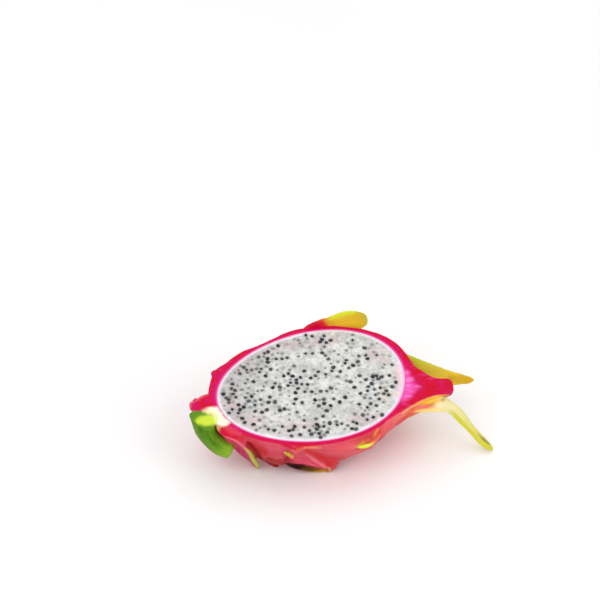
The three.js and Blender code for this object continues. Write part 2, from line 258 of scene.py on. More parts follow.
# Every point moves towards the mean of its neighbours, then a little further back, so that steps
# are smoothed away and the shape doesn't shrink.
def relax(mesh, rounds, step, back):
    first, second = edgesOf(mesh)
    points = pointsOf(mesh)
    size = len(points)
    count = np.bincount(np.concatenate([first, second]), minlength=size)[:, None]
    for _ in range(rounds):
        for amount in (step, -back):
            total = np.stack([
                np.bincount(first, points[second, k], size) + np.bincount(second, points[first, k], size)
                for k in range(3)
            ], -1)
            points = points + amount * (total / count - points)
    setPoints(mesh, points)


# Masks that the materials read by their names: one number or one vector for each point.
def setMasks(mesh, masks):
    for name, values in masks.items():
        kind, field = ("FLOAT", "value") if values.ndim == 1 else ("FLOAT_VECTOR", "vector")
        attribute = mesh.attributes.new(name, kind, "POINT")
        attribute.data.foreach_set(field, values.astype(np.float32).ravel())


# Smooth shading, with the edges round the knife's face kept crisp: those with a face of the cut on
# one side only. A face is of the cut when all its corners are.
def shadeWithCrispCut(mesh, onCut):
    sizes = np.empty(len(mesh.polygons), np.int32)
    mesh.polygons.foreach_get("loop_total", sizes)
    corners = np.empty(len(mesh.loops), np.int32)
    mesh.loops.foreach_get("vertex_index", corners)
    edgeOf = np.empty(len(mesh.loops), np.int32)
    mesh.loops.foreach_get("edge_index", edgeOf)
    faceOf = np.repeat(np.arange(len(sizes)), sizes)
    cutFace = np.bincount(faceOf, onCut[corners].astype(float), len(sizes)) > sizes - 0.5
    cutSides = np.bincount(edgeOf, cutFace[faceOf].astype(float), len(mesh.edges))
    shadeSmooth(mesh)
    sharp = mesh.attributes.new("sharp_edge", "BOOLEAN", "EDGE")
    sharp.data.foreach_set("value", cutSides == 1)


# The skin is an egg, slightly three-sided in the cut face, that the neck grows out of. The middle of
# its width shifts with x by the skew.
def middleY(egg, x):
    return egg["y"] + egg["skew"] * (x - egg["x"])


# The egg's three-sided swell: cos(3 angle) of a direction in the cut face, times its length cubed.
def threeSided(u, v):
    return u ** 3 - 3 * u * v * v


# How far a point is from the egg's middle, as a share of the way to its surface: an ellipsoid's
# share, divided by the swell in that direction.
def eggShare(egg, x, y, z):
    u = (x - egg["x"]) / egg["length"]
    v = (y - middleY(egg, x)) / egg["width"]
    share = np.sqrt(u * u + v * v + (z / egg["depth"]) ** 2)
    return share / (1 - egg["lump"] * threeSided(u, v) / np.maximum(share, 1e-6) ** 3)


# Below 0 inside the skin: the smaller of the egg's and the neck's distances, less up to a quarter of
# the blend where the two are nearly equal. The neck is a cone along x, rounded off at its end.
def skinDistance(x, y, z):
    egg = (eggShare(body, x, y, z) - 1) * body["width"]
    intoEnd = np.clip(1 - (neck["endX"] - x) / neck["endRound"], 0, 1)
    reach = (neck["width"] + neck["flare"] * (neck["endX"] - x)) * np.cbrt(1 - intoEnd ** 3)
    stalk = np.hypot(y - neck["y"], z / neck["deeper"]) - reach + np.maximum(0, -x)
    nearness = np.maximum(neck["blend"] - np.abs(egg - stalk), 0) / neck["blend"]
    return np.minimum(egg, stalk) - nearness ** 2 * neck["blend"] / 4


# The y of the fruit's axis at x: the egg's middle, moving over to the neck's.
def axisY(x):
    bend = smooth(*neck["axisBend"], x)
    return middleY(body, x) * (1 - bend) + neck["y"] * bend


skinLook = {
    "stations": 280, "sides": 320,
    "farthest": 70, "halvings": 26,  # the search for the surface: its first span, and its steps
    "endGap": 0.05,  # how far the first and last rings stay inside the ends
    "fade": 14,  # swells, pads and waves fade where the skin's radius is smaller than this
    "waves": [(0.35, 9, 3), (0.12, 3.2, 4)],  # height, cell, seed
}


# How far the bare skin is from the axis at x, in the direction of the angle, by halving the span.
def skinRadius(x, angle):
    inside, outside = np.zeros_like(x), np.full_like(x, skinLook["farthest"])
    for _ in range(skinLook["halvings"]):
        r = (inside + outside) / 2
        within = skinDistance(x, axisY(x) + r * np.cos(angle), -r * np.sin(angle)) < 0
        inside, outside = np.where(within, r, inside), np.where(within, outside, r)
    return inside


swells = [  # broad shallow rises and hollows: x, angle, reach along, reach around, rise
    (-50, 4, 7, 11, 2.6),
    (-22, 6, 19, 20, -2.2),
    (22, 2, 16, 14, -0.8),
    (58.5, 0, 6.5, 9, 3.8),
    (35, 176, 10, 12, -1.3),
    (31, 157, 9, 13, 1.9),
    (11, 150, 7, 9, 0.8),
]
pads = [  # the thick root of each scale: x, angle, turn to the front rim, length, width, rise
    (-48, 148, 0, 30, 23, 3.3),
    (-4, 160, 0, 32, 25, 2.3),
    (-26, 132, 6, 32, 24, 3.0),
    (-50, 104, 4, 26, 20, 2.0),
    (-48, 52, -2, 30, 22, 2.4),
    (-20, 62, 0, 32, 24, 2.2),
    (8, 34, 2, 30, 22, 2.2),
    (-44, 22, 0, 28, 18, 2.0),
    (17, 76, 0, 32, 22, 2.2),
    (16, 122, 4, 34, 22, 2.2),
]
padLook = {
    "rimRise": 0.45, "rimWidth": 0.09, "rimAt": 0.72,  # width and place as shares of the half width
    "leastRadius": 10,  # so that pads don't shrink towards the ends of the fruit
    "rootWidth": 1.25, "taper": 0.6,  # times the half width at the root, less this much at the tip
    # over what shares of its length a pad climbs and falls, and over what shares of its half width
    "climb": (-0.1, 0.85), "fall": (0.94, 1.08), "sides": (0.5, 1.05),
    "rimClimb": (0.3, 0.8), "rimFall": (0.95, 1.05),
}


# The turn in radians from an angle in degrees, between half a turn back and half a turn on.
def turnFrom(angle, at):
    return (angle - math.radians(at) + math.pi) % (2 * math.pi) - math.pi


# The same turn as a length along the skin.
def arcFrom(angle, at, radius):
    return turnFrom(angle, at) * np.maximum(radius, padLook["leastRadius"])


# A point's place on a pad: share of its length, and signed share of its half width.
def onPad(pad, x, angle, radius):
    at, around, turn, length, width = pad[:5]
    arc = arcFrom(angle, around, radius)
    cos, sin = math.cos(math.radians(turn)), math.sin(math.radians(turn))
    along = ((x - at) * cos + arc * sin) / length
    halfWidth = width / 2 * (padLook["rootWidth"] - padLook["taper"] * np.clip(along, 0, 1))
    return along, (arc * cos - (x - at) * sin) / halfWidth


# What swells and pads add to the skin's radius. A pad climbs along its length, falls away past its
# tip and at its sides, and has a narrow raised rim along both sides.
def skinRise(x, angle, radius):
    total = np.zeros_like(x)
    for at, around, reachAlong, reachAround, rise in swells:
        away = np.hypot((x - at) / reachAlong, arcFrom(angle, around, radius) / reachAround)
        total += rise * (1 - smooth(0, 1, away))
    highest, rim = np.zeros_like(x), np.zeros_like(x)
    for pad in pads:
        along, sideways = onPad(pad, x, angle, radius)
        climb = smooth(*padLook["climb"], along) * (1 - smooth(*padLook["fall"], along))
        onTop = pad[-1] * climb * (1 - smooth(*padLook["sides"], np.abs(sideways)))
        highest = np.maximum(highest, onTop)
        onRim = np.exp(-((np.abs(sideways) - padLook["rimAt"]) / padLook["rimWidth"]) ** 2)
        onRim = onRim * smooth(*padLook["rimClimb"], along) * (1 - smooth(*padLook["rimFall"], along))
        rim = np.maximum(rim, onRim)
    return (total + highest + padLook["rimRise"] * rim) * smooth(0, skinLook["fade"], radius)


# The point at x that is the radius away from the axis, in the direction of the angle.
def skinPoint(x, angle, radius):
    return np.stack([x, axisY(x) + radius * np.cos(angle), -radius * np.sin(angle)], -1)


# The whole skin as rings: stations along x crowd towards both ends, and each ring goes once round.
def skinRings():
    startX = body["x"] - body["length"] * (1 + body["lump"]) + skinLook["endGap"]
    share = 0.5 - 0.5 * np.cos(np.pi * np.arange(skinLook["stations"] + 1) / skinLook["stations"])
    x = startX + (neck["endX"] - skinLook["endGap"] - startX) * share
    x, angle = np.meshgrid(x, onceRound(skinLook["sides"]), indexing="ij")
    bare = skinRadius(x, angle)
    waves = noiseSum(skinPoint(x, angle, bare), skinLook["waves"])
    rise = skinRise(x, angle, bare)
    points = skinPoint(x, angle, bare + rise + waves * smooth(0, skinLook["fade"], bare))
    return points[:, ::-1]


# Leaves are strips along a smooth path.
# path: x, y, z and width from root to tip; outer: which way the outer side faces at root and tip;
# thick: at root and tip; arch: how far the edges bend inwards, as a share of the half width;
# crease: how sharply it is folded along its midrib, and creaseAt: where the fold is across it;
# wave: how far its edges wave; tipFrom: the share of the length where the tip begins.
# Colour: turns: shares of the length where red gives way to leaf colour, past 1 for a red leaf;
# hue: 0 gold, 1 green, and pale: how washed out it is, both at root and tip; flange: 1 or -1 for the
# edge that is darker, 0 for none, from flangeFrom of the length on.
leafDefaults = {
    "outer": [(0, 0, -1), (0, 0, -1)], "thick": (2.6, 1.5),
    "arch": 0.2, "crease": 0.4, "creaseAt": 0, "wave": 0, "tipFrom": 0.9,
    "turns": (2, 3), "hue": (0.2, 0.7), "pale": (0.15, 0.15), "flange": 0, "flangeFrom": 0,
}
leaves = {
    "behindNeck": {
        "path": [(38, 24, -9, 12), (50, 15.4, -5.8, 12), (60.4, 10, -6.4, 10.8),
                 (72.4, 4.9, -6.9, 8), (80.8, 3.1, -7.6, 5.2), (86, 2.2, -7.6, 2.4)],
        "outer": [(0.2, 0.7, -0.65), (0.2, 0.7, -0.65)],
        "thick": (2.4, 1.4), "wave": 0.25, "turns": (-0.2, 0.06), "hue": (0.95, -0.3), "pale": (0.2, 0.0),
    },
    "longBeforeNeck": {
        "path": [(42, -12, -8, 10), (52, -13.6, -6.8, 11.5), (59.3, -14.2, -5.8, 11.8),
                 (64.8, -14.3, -6.2, 10.8), (69.1, -14.6, -8.5, 9.8), (73.2, -16.1, -12, 8.8),
                 (77.4, -18.2, -16.8, 7.9), (81.8, -20.6, -22, 6.9), (85.7, -23.4, -26, 6.1),
                 (89.4, -26, -28.7, 5.5), (92.6, -27.8, -29.9, 4.6)],
        "outer": [(0, -0.15, -1), (-0.7, 0.15, -0.65)],
        "thick": (2.8, 1.7), "arch": 0.32, "crease": 0.9, "creaseAt": 0.25, "wave": 0.3,
        "turns": (0.1, 0.24), "hue": (-0.1, 0.6), "pale": (1.15, 0.1), "flange": 1, "flangeFrom": 0.48,
    },
    "underNeck": {
        "path": [(38, 7, -20, 10), (48, 4, -17, 11), (56, 2.6, -14.6, 8), (63, 2, -14.4, 2)],
        "outer": [(0, 0.1, -1), (0, 0.1, -1)], "turns": (0.3, 0.9), "hue": (0.2, 0.9), "pale": (0.2, 0.2),
    },
    "besideStem": {
        "path": [(-49, -22, 6, 12), (-47.6, -24.6, 0, 13), (-44.9, -26.6, -5, 12.4), (-42, -27.3, -10, 11.8),
                 (-39.1, -27.6, -15.5, 10.8), (-35.3, -27.8, -21.5, 8), (-31.5, -27.2, -30.4, 2.4)],
        "outer": [(-0.6, -0.8, 0), (-0.75, -0.6, -0.2)],
        "thick": (8, 1.6), "turns": (0.9, 1.0), "hue": (0.7, 0.8), "pale": (0, 0),
    },
    "frontBroad": {
        "path": [(-26, -25, -21, 20), (-18, -29.6, -22.2, 25), (-10, -32.2, -23.2, 24),
                 (-2.5, -33.6, -25.2, 16.5), (3, -33.8, -27.6, 8.4), (6, -33.2, -29.4, 3)],
        "outer": [(0, -0.85, -0.5), (0.25, -0.85, -0.45)],
        "thick": (3, 1.8), "arch": 0.3, "crease": 0.9, "creaseAt": 0.1,
    },
    "frontBroadWing": {  # carries the broad leaf's upper edge over into the belly
        "path": [(0, -33.5, -13, 10), (5, -34.6, -17.6, 10.4), (7, -34, -22.6, 6.4), (7.4, -33.2, -27.6, 3)],
        "outer": [(0.1, -0.95, -0.3), (0.5, -0.8, -0.3)], "thick": (4, 2.2), "arch": 0.1,
    },
    "frontUnder": {  # a scale below the broad leaf, which carries the painted shade under it
        "path": [(-20, -29, -20.5, 6), (-15, -31.6, -24.2, 6), (-9.5, -32.6, -26.4, 5.4),
                 (-3, -33, -28, 4.4), (2.4, -33, -29.2, 2.4)],
        "outer": [(-0.1, -0.75, -0.65), (-0.1, -0.75, -0.65)], "thick": (2, 1.4), "arch": 0.1,
        "turns": (0.6, 0.9), "hue": (0.0, 0.0),
    },
    "bellyScale": {
        "path": [(-34, -22, -23, 6), (-28, -26, -24, 7), (-24.4, -28, -26.2, 6), (-20.8, -29.4, -26.6, 2.6)],
        "outer": [(-0.1, -0.7, -0.7), (-0.1, -0.7, -0.7)], "thick": (2.6, 1.8), "wave": 0.5,
    },
    "frontCurledTip": {
        "path": [(31, -28, -7, 7), (28.4, -33, -6.2, 6.4), (24.8, -36.6, -5.8, 5), (20.8, -38, -5.2, 3.8),
                 (17.6, -38.1, -4.9, 1.8)],
        "outer": [(0.2, -0.9, -0.3), (0, -0.9, -0.3)],
        "thick": (1.8, 1.1), "arch": 0.1, "turns": (0.3, 0.62), "hue": (-0.2, 0.7), "pale": (0.1, 0.5),
    },
    "frontSmallTip": {
        "path": [(-13.8, -34.8, -14.4, 1.6), (-15.6, -36.2, -11, 1.7), (-17.4, -37.2, -7.6, 2),
                 (-19.6, -37.9, -4.2, 1.8)],
        "outer": [(-0.2, -0.9, -0.3), (-0.1, -0.95, -0.2)],
        "thick": (1.4, 1.0), "arch": 0.1, "turns": (0.34, 0.82), "hue": (-0.1, 0.9), "pale": (0.1, 0.4),
    },
    "rimNub": {
        "path": [(-45, 8.6, -9, 7), (-48.4, 12, -5, 6), (-50.2, 14.7, -1, 4.4), (-50.5, 15.2, 1.5, 3.2)],
        "outer": [(-0.6, 0.8, 0), (-0.6, 0.8, 0)], "thick": (3, 2.2), "arch": 0,
    },
    "baseLobe": {
        "path": [(-46, -2.6, -3.5, 14), (-54.5, -4.2, -2.8, 13), (-60, -5.6, -1.7, 10), (-64.8, -7, -0.6, 7)],
        "thick": (8, 4), "arch": 0, "crease": 0,
    },
    "collar": {
        "path": [(-42, -8, -6, 17), (-50, -11.6, -5.5, 17), (-55, -13.6, -5, 16), (-59, -15, -4.5, 12)],
        "thick": (15, 13), "arch": 0, "crease": 0,
    },
}
backLeaf = {  # springs up past the cut face behind the back rim
    "path": [(-8, 36, -12, 8), (2, 40, -4.8, 10.4), (6, 41.2, -2.2, 11.2), (10, 42, -0.8, 10.4),
             (14, 42.5, -0.2, 10.4), (17, 42.6, 0.7, 11.6), (24, 42.6, 2.1, 13.2), (29.6, 42.2, 1.3, 12.2),
             (34.3, 41.4, -0.8, 7)],
    "outer": [(0, 0.97, -0.25), (0, 0.97, -0.25)],
    "thick": (2.4, 1.4), "wave": 0.25, "tipFrom": 0.88,
    "turns": (0.3, 0.54), "hue": (-0.7, 0.35), "pale": (0.05, 0.05),
}
stemStub = {
    "path": [(-58.4, -13.8, 7, 15), (-58.5, -15.5, 0, 15.4), (-58.1, -19.1, -4.7, 13.6),
             (-54.8, -22, -9, 11.8), (-50.2, -24.4, -12.3, 11.8), (-44.6, -25.4, -14.2, 10.6)],
    "outer": [(-0.33, -0.94, -0.2), (-0.75, -0.55, -0.35)],
    "thick": (8.2, 11), "arch": 0, "crease": 0, "tipFrom": 0.93,
}
padLeaves = [  # leaves that lift off a pad's tip: pad, start as a share of it, length, lift, width
    (3, 0.6, 18, 2, 15),
    (4, 0.6, 24, 7, 15),
    (5, 0.62, 26, 7, 17),
    (6, 0.6, 27, 8, 15),
    (7, 0.62, 22, 6, 13),
    (8, 0.6, 28, 6, 15),
    (9, 0.62, 24, 4, 15),
]
leafLook = {
    "bluntTip": 0.15,  # the least share of its width and thickness that a tip keeps
    "foldRound": 0.01,  # the square of how far a fold is rounded off
    "crowd": 0.5,  # how much closer the rings stand towards the tip
    "waves": 23, "waveShift": 2,  # radians along the length, and from one edge to the middle
    # which leaf a point of the rind belongs to: stations along it, millimetres added to its half sizes
    # and round it, and from where to where across it the belonging fades
    "stations": 80, "slack": 0.2, "reach": 3, "belongs": (1.15, 1.6), "farthestAcross": 1.1,
    # how far the edges turn before the middle does, how uneven that line is, and how green the edges
    "turnBow": 0.08, "turnNoise": (1.6, 3.5, 31), "edgeHue": 0.35,
    "flangeSide": (0.2, 0.32), "flangeStart": (-0.15, 0.05),  # where a darker edge sets in
    "grainAcross": 6, "grainApart": 17.0,  # the grain's width, and its shift from leaf to leaf
    # a leaf on a pad: shares of its length, widths there, how deep in the pad it starts, and over
    # what shares of its length the pad's rise stops carrying it
    "padRiseEnds": (0.5, 1),
    "padShares": [0, 0.3, 0.6, 0.85, 1], "padWidths": [0.9, 1, 0.85, 0.45, 0.12], "padSunk": 1,
}


# A uniform Catmull-Rom curve through the points, at shares 0 to 1 of its knots.
def curveAt(knots, share):
    knots = np.asarray(knots, float)
    ends = np.vstack([2 * knots[0] - knots[1], knots, 2 * knots[-1] - knots[-2]])
    place = np.clip(share, 0, 1) * (len(knots) - 1)
    base = np.minimum(place.astype(int), len(knots) - 2)
    t = (place - base)[:, None]
    p0, p1, p2, p3 = (ends[base + k] for k in range(4))
    return 0.5 * (2 * p1 + (p2 - p0) * t + (2 * p0 - 5 * p1 + 4 * p2 - p3) * t ** 2
                  + (3 * p1 - p0 - 3 * p2 + p3) * t ** 3)


# The leaf's centre line with its three directions and half sizes, at each share of its length.
def leafFrame(leaf, share, step=1e-3):
    knots, before, after = (curveAt(leaf["path"], share + shift) for shift in (0, -step, step))
    along = unit(after[:, :3] - before[:, :3])
    ends = np.array(leaf["outer"], float)
    out = ends[0] + (ends[1] - ends[0]) * share[:, None]
    out = unit(out - (out * along).sum(-1, keepdims=True) * along)
    intoTip = np.clip((share - leaf["tipFrom"]) / (1 - leaf["tipFrom"]), 0, 1)
    tip = np.maximum(leafLook["bluntTip"], np.sqrt(1 - intoTip ** 2))
    thick = leaf["thick"][0] + (leaf["thick"][1] - leaf["thick"][0]) * share
    return {
        "centre": knots[:, :3], "along": along, "out": out, "across": np.cross(out, along),
        "halfWidth": knots[:, 3] / 2 * tip, "halfThick": thick / 2 * tip,
    }


# How far a leaf bends inwards at u, from -1 to 1 across it: partly the square of the distance from
# its midrib, partly a straight-sided fold.
def leafBend(leaf, u):
    fold = np.sqrt((u - leaf["creaseAt"]) ** 2 + leafLook["foldRound"])
    return leaf["arch"] * ((1 - leaf["crease"]) * u * u + leaf["crease"] * fold)


# Rings round the centre line: an oval across it, bent inwards, with waves along its edges.
def leafRings(leaf, rows=90, sides=36, grow=0.0):
    even = np.arange(rows + 1) / rows
    share = even * (1 + leafLook["crowd"] - leafLook["crowd"] * even)
    line = leafFrame(leaf, share)
    cos, sin = np.cos(onceRound(sides)), np.sin(onceRound(sides))
    halfWidth = (line["halfWidth"] + grow)[:, None]
    sideways = cos * halfWidth
    wave = leaf["wave"] * np.sin(share[:, None] * leafLook["waves"] + leafLook["waveShift"] * cos) * cos ** 2
    lift = sin * (line["halfThick"] + grow)[:, None] - leafBend(leaf, cos) * halfWidth + wave
    return (line["centre"][:, None] + sideways[..., None] * line["across"][:, None]
            + lift[..., None] * line["out"][:, None])


# A pad's leaf follows the skin from the pad's crest, and its tip stands off by the lift.
def padLeaf(pad, start, length, lift, width):
    at, around, turn, padLength, _, rise = pads[pad]
    shares, sunk = np.array(leafLook["padShares"]), leafLook["padSunk"]
    begin = padLength * start
    s = begin + length * shares
    x = at + s * math.cos(math.radians(turn))
    radius = skinRadius(np.array([at + begin]), np.radians([around]))[0]
    angle = math.radians(around) + s * math.sin(math.radians(turn)) / radius
    skin = skinRadius(x, angle) + rise * (1 - smooth(*leafLook["padRiseEnds"], shares))
    points = skinPoint(x, angle, skin - sunk + (lift + sunk) * shares ** 2)
    widths = width * np.array(leafLook["padWidths"])
    out = (0, math.cos(math.radians(around)), -math.sin(math.radians(around)))
    return {
        "path": [(*point, wide) for point, wide in zip(points, widths)], "outer": [out, out],
        "arch": 0.28, "crease": 0.6, "wave": 0.4, "turns": (0.3, 0.85), "hue": (0.1, 0.9),
    }


leaves.update({f"pad{one[0]}": padLeaf(*one) for one in padLeaves})
allLeaves = [dict(leafDefaults, **leaf) for leaf in leaves.values()]
backLeaf = dict(leafDefaults, **backLeaf)
stemStub = dict(leafDefaults, **stemStub)


# The knife's underside is a fine grid with slow shallow waves, so the cut faces get them too.
knife = {
    "x": (-80, 104), "y": (-60, 60), "height": 60.0,
    "waves": [(0.07, 11, 21), (0.02, 2.5, 22)],  # height, cell, seed
    "tolerance": 0.02,  # how near a point has to be to count as cut
}


# Points in the cut face, level with it.
def inCutFace(x, y):
    return np.stack([x, y, np.zeros_like(x)], -1)


# The height of the knife's underside at x and y: its waves alone.
def knifeHeight(x, y):
    return noiseSum(inCutFace(x, y), knife["waves"])


# Which points the knife has left: those at the height of its underside.
def leftByKnife(points):
    return np.abs(points[:, 2] - knifeHeight(points[:, 0], points[:, 1])) < knife["tolerance"]


# A block whose underside and top are grids over x and y, with a strip of faces round its edge.
def knifeObject(cell=1.0):
    x, y = (np.arange(low, high + cell, cell) for low, high in (knife["x"], knife["y"]))
    x, y = np.meshgrid(x, y, indexing="ij")
    rows, columns = x.shape
    under = np.stack([x, y, knifeHeight(x, y)], -1).reshape(-1, 3)
    top = np.stack([x, y, np.full_like(x, knife["height"])], -1).reshape(-1, 3)
    index = np.arange(rows * columns).reshape(rows, columns)
    quads = np.stack([index[:-1, :-1], index[:-1, 1:], index[1:, 1:], index[1:, :-1]], -1).reshape(-1, 4)
    edge = np.concatenate([index[:-1, 0], index[-1, :-1], index[:0:-1, -1], index[0, :0:-1]])
    ahead = np.roll(edge, -1)
    above = rows * columns
    sides = np.stack([edge, ahead, ahead + above, edge + above], -1)
    faces = np.vstack([quads, quads[:, ::-1] + above, sides])
    mesh = meshFromArrays("knife", np.vstack([under, top]), faces, np.empty((0, 3), int))
    return objectOf("knife", mesh)


# The egg's surface at latitude (-90 at the bottom) and longitude, pushed out by grow.
def eggPoint(egg, latitude, longitude, grow):
    u, v, w = np.cos(latitude) * np.cos(longitude), np.cos(latitude) * np.sin(longitude), np.sin(latitude)
    share = 1 - egg["lump"] * threeSided(u, v)
    x = u * (egg["length"] * share + grow)
    y = v * (egg["width"] * share + grow) + egg["skew"] * x
    return np.stack([x + egg["x"], y + egg["y"], w * (egg["depth"] * share + grow)], -1)


# The whole egg of the flesh, grown by the clearance: rings of equal latitude, with closed poles.
def hollowObject(grow, rows=70, sides=220, pole=89.5):
    latitude = np.radians(np.linspace(-pole, pole, rows))
    latitude, longitude = np.meshgrid(latitude, onceRound(sides), indexing="ij")
    return objectOf("hollow", meshFromTubes("hollow", [eggPoint(pulp, latitude, longitude, grow)]))


# A block under the floor, turned from the part's frame back into the cut frame.
def floorObject(reach=200.0):
    corners = np.array([(-1, -1), (1, -1), (1, 1), (-1, 1)], float) * reach
    levels = [np.column_stack([corners, np.full(4, z)]) for z in (-reach, 0.0)]
    rings = np.array([(level - cutOrigin) @ cutTurn for level in levels])
    return objectOf("floorBlock", meshFromTubes("floorBlock", [rings]))


# The peel: skin and leaves grown together, then cut, hollowed and set on its flat spot.
peelLook = {
    "voxel": 0.56, "relaxRounds": 5, "relaxStep": 0.5, "relaxBack": 0.52,
    "grain": [(0.05, 1.6, 61)],  # height, cell, seed
    "ragged": 0.75, "raggedLumps": [(1, 2.6, 62), (0.6, 1.4, 63)],
    "lobeX": (-54, -58), "lobeY": (-13.5, -11),  # where the ragged lobe at the base sets in
    "tintNoise": [(0.25, 2.4, 71)],  # how uneven the tints' edges are
    "farFromPulp": 20, "deepest": 9,  # distances from the flesh and from outlines stay within these
    "grainRadius": 36,
    "stemPlace": (-58.3, -15.5), "stemSquash": 1.3, "stemNear": (9, 6.5),  # where the pith is yellower
    "baseEnd": (-28, -52), "neckEnd": (36, 50), "neckShare": 0.7,  # where the cut is violet and fibrous
    # where the colours of a pad lie, as shares of its length and of its half width
    "crest": (0.2, 0.9), "crestFall": (0.95, 1.08), "sides": (0.6, 1.05),
    "rimAt": 0.74, "rimWidth": 0.1, "rim": (0.25, 0.7), "rimFall": (0.98, 1.08),
    "dip": (0.98, 1.06), "dipFall": (1.1, 1.4),
}

# Lines along the rind that both its relief and its colours follow.
stemFoldLine = [
    (-51.6, -25.8, -0.6), (-49.3, -28.1, -0.5), (-46.9, -29.4, -0.4), (-44.4, -30.1, -1.1),
    (-42.4, -30.7, -2.6), (-39.9, -31.1, -5.7), (-37.9, -31.3, -9.3), (-36, -31.4, -13.6),
    (-34.2, -31, -19), (-32.5, -30, -24.3),
]
broadLeafLine = [
    (-9.3, -37.1, -7.4), (-7.1, -36.5, -11), (-4.4, -36.1, -14.7), (-1.7, -36.1, -18), (1, -35.9, -21.1),
    (3.8, -35.5, -24.6),
]
curledTipLine = [(27.6, -32.1, -4.5), (28.4, -31.2, -3.3), (29.5, -30.6, -1.8), (31.1, -29.7, -0.6)]

# Raised lines on the rind, and sunk ones with a rise below 0: half width, rise, and the way they run.
ridges = [
    (0.9, 0.6, stemFoldLine),
    (1.8, -0.9, [(-36.4, -30.4, -6.6), (-34.4, -31.4, -9.7), (-33, -31.6, -13.2), (-31.6, -31, -19)]),
    (2.5, -4, [(-50.3, -27, -4.2), (-47.8, -28.8, -5.4), (-45.9, -29.5, -7.2), (-44.8, -29.4, -9.4)]),
    (0.9, 0.6, [(-15.4, -36, -11), (-14.9, -37, -8.4), (-13.4, -37.1, -6.1), (-12.1, -38, -3.4),
                (-10.1, -38.5, -1.5), (-7.6, -38.5, -0.5), (-4.6, -38.7, -0.7), (-1.5, -38.9, -2)]),
    (0.8, 0.7, broadLeafLine),
    (2.4, -0.7, [(-6.4, -37.6, -6.4), (-3, -36.8, -10.6), (0, -36.2, -14.6), (3, -36, -18.4)]),
    (2.2, -1.2, [(-26.6, -34.5, -13.6), (-22.3, -35.2, -14.6), (-18.4, -34.8, -14.8)]),
    (0.8, 0.7, [(-15.6, -33.4, -19.4), (-12.6, -34.2, -18.8), (-9.2, -34.9, -18.6), (-5.6, -35.3, -19.4),
                (-2, -35.5, -21.4), (1.3, -35.4, -24)]),
    (1.8, -1.3, [(-16.4, -32.8, -22.4), (-13.2, -33.6, -22.4), (-8, -34.1, -22.6), (-2.9, -34.9, -24),
                 (1.9, -35, -26.8)]),
    (1.0, 0.5, [(39.6, -23.3, -3), (43.8, -21.3, -1.2), (49.7, -17.5, -1.2), (56.2, -13.5, -2.7),
                (59.5, -12.4, -2.5), (62.7, -11.9, -1.4), (68.5, -11.4, -0.7)]),
    (0.8, -0.5, [(59.8, -14.5, -4.1), (61.7, -12.9, -3.8), (64, -11.8, -3.8), (68.3, -10.8, -3.5)]),
    (0.7, 0.5, curledTipLine),
]
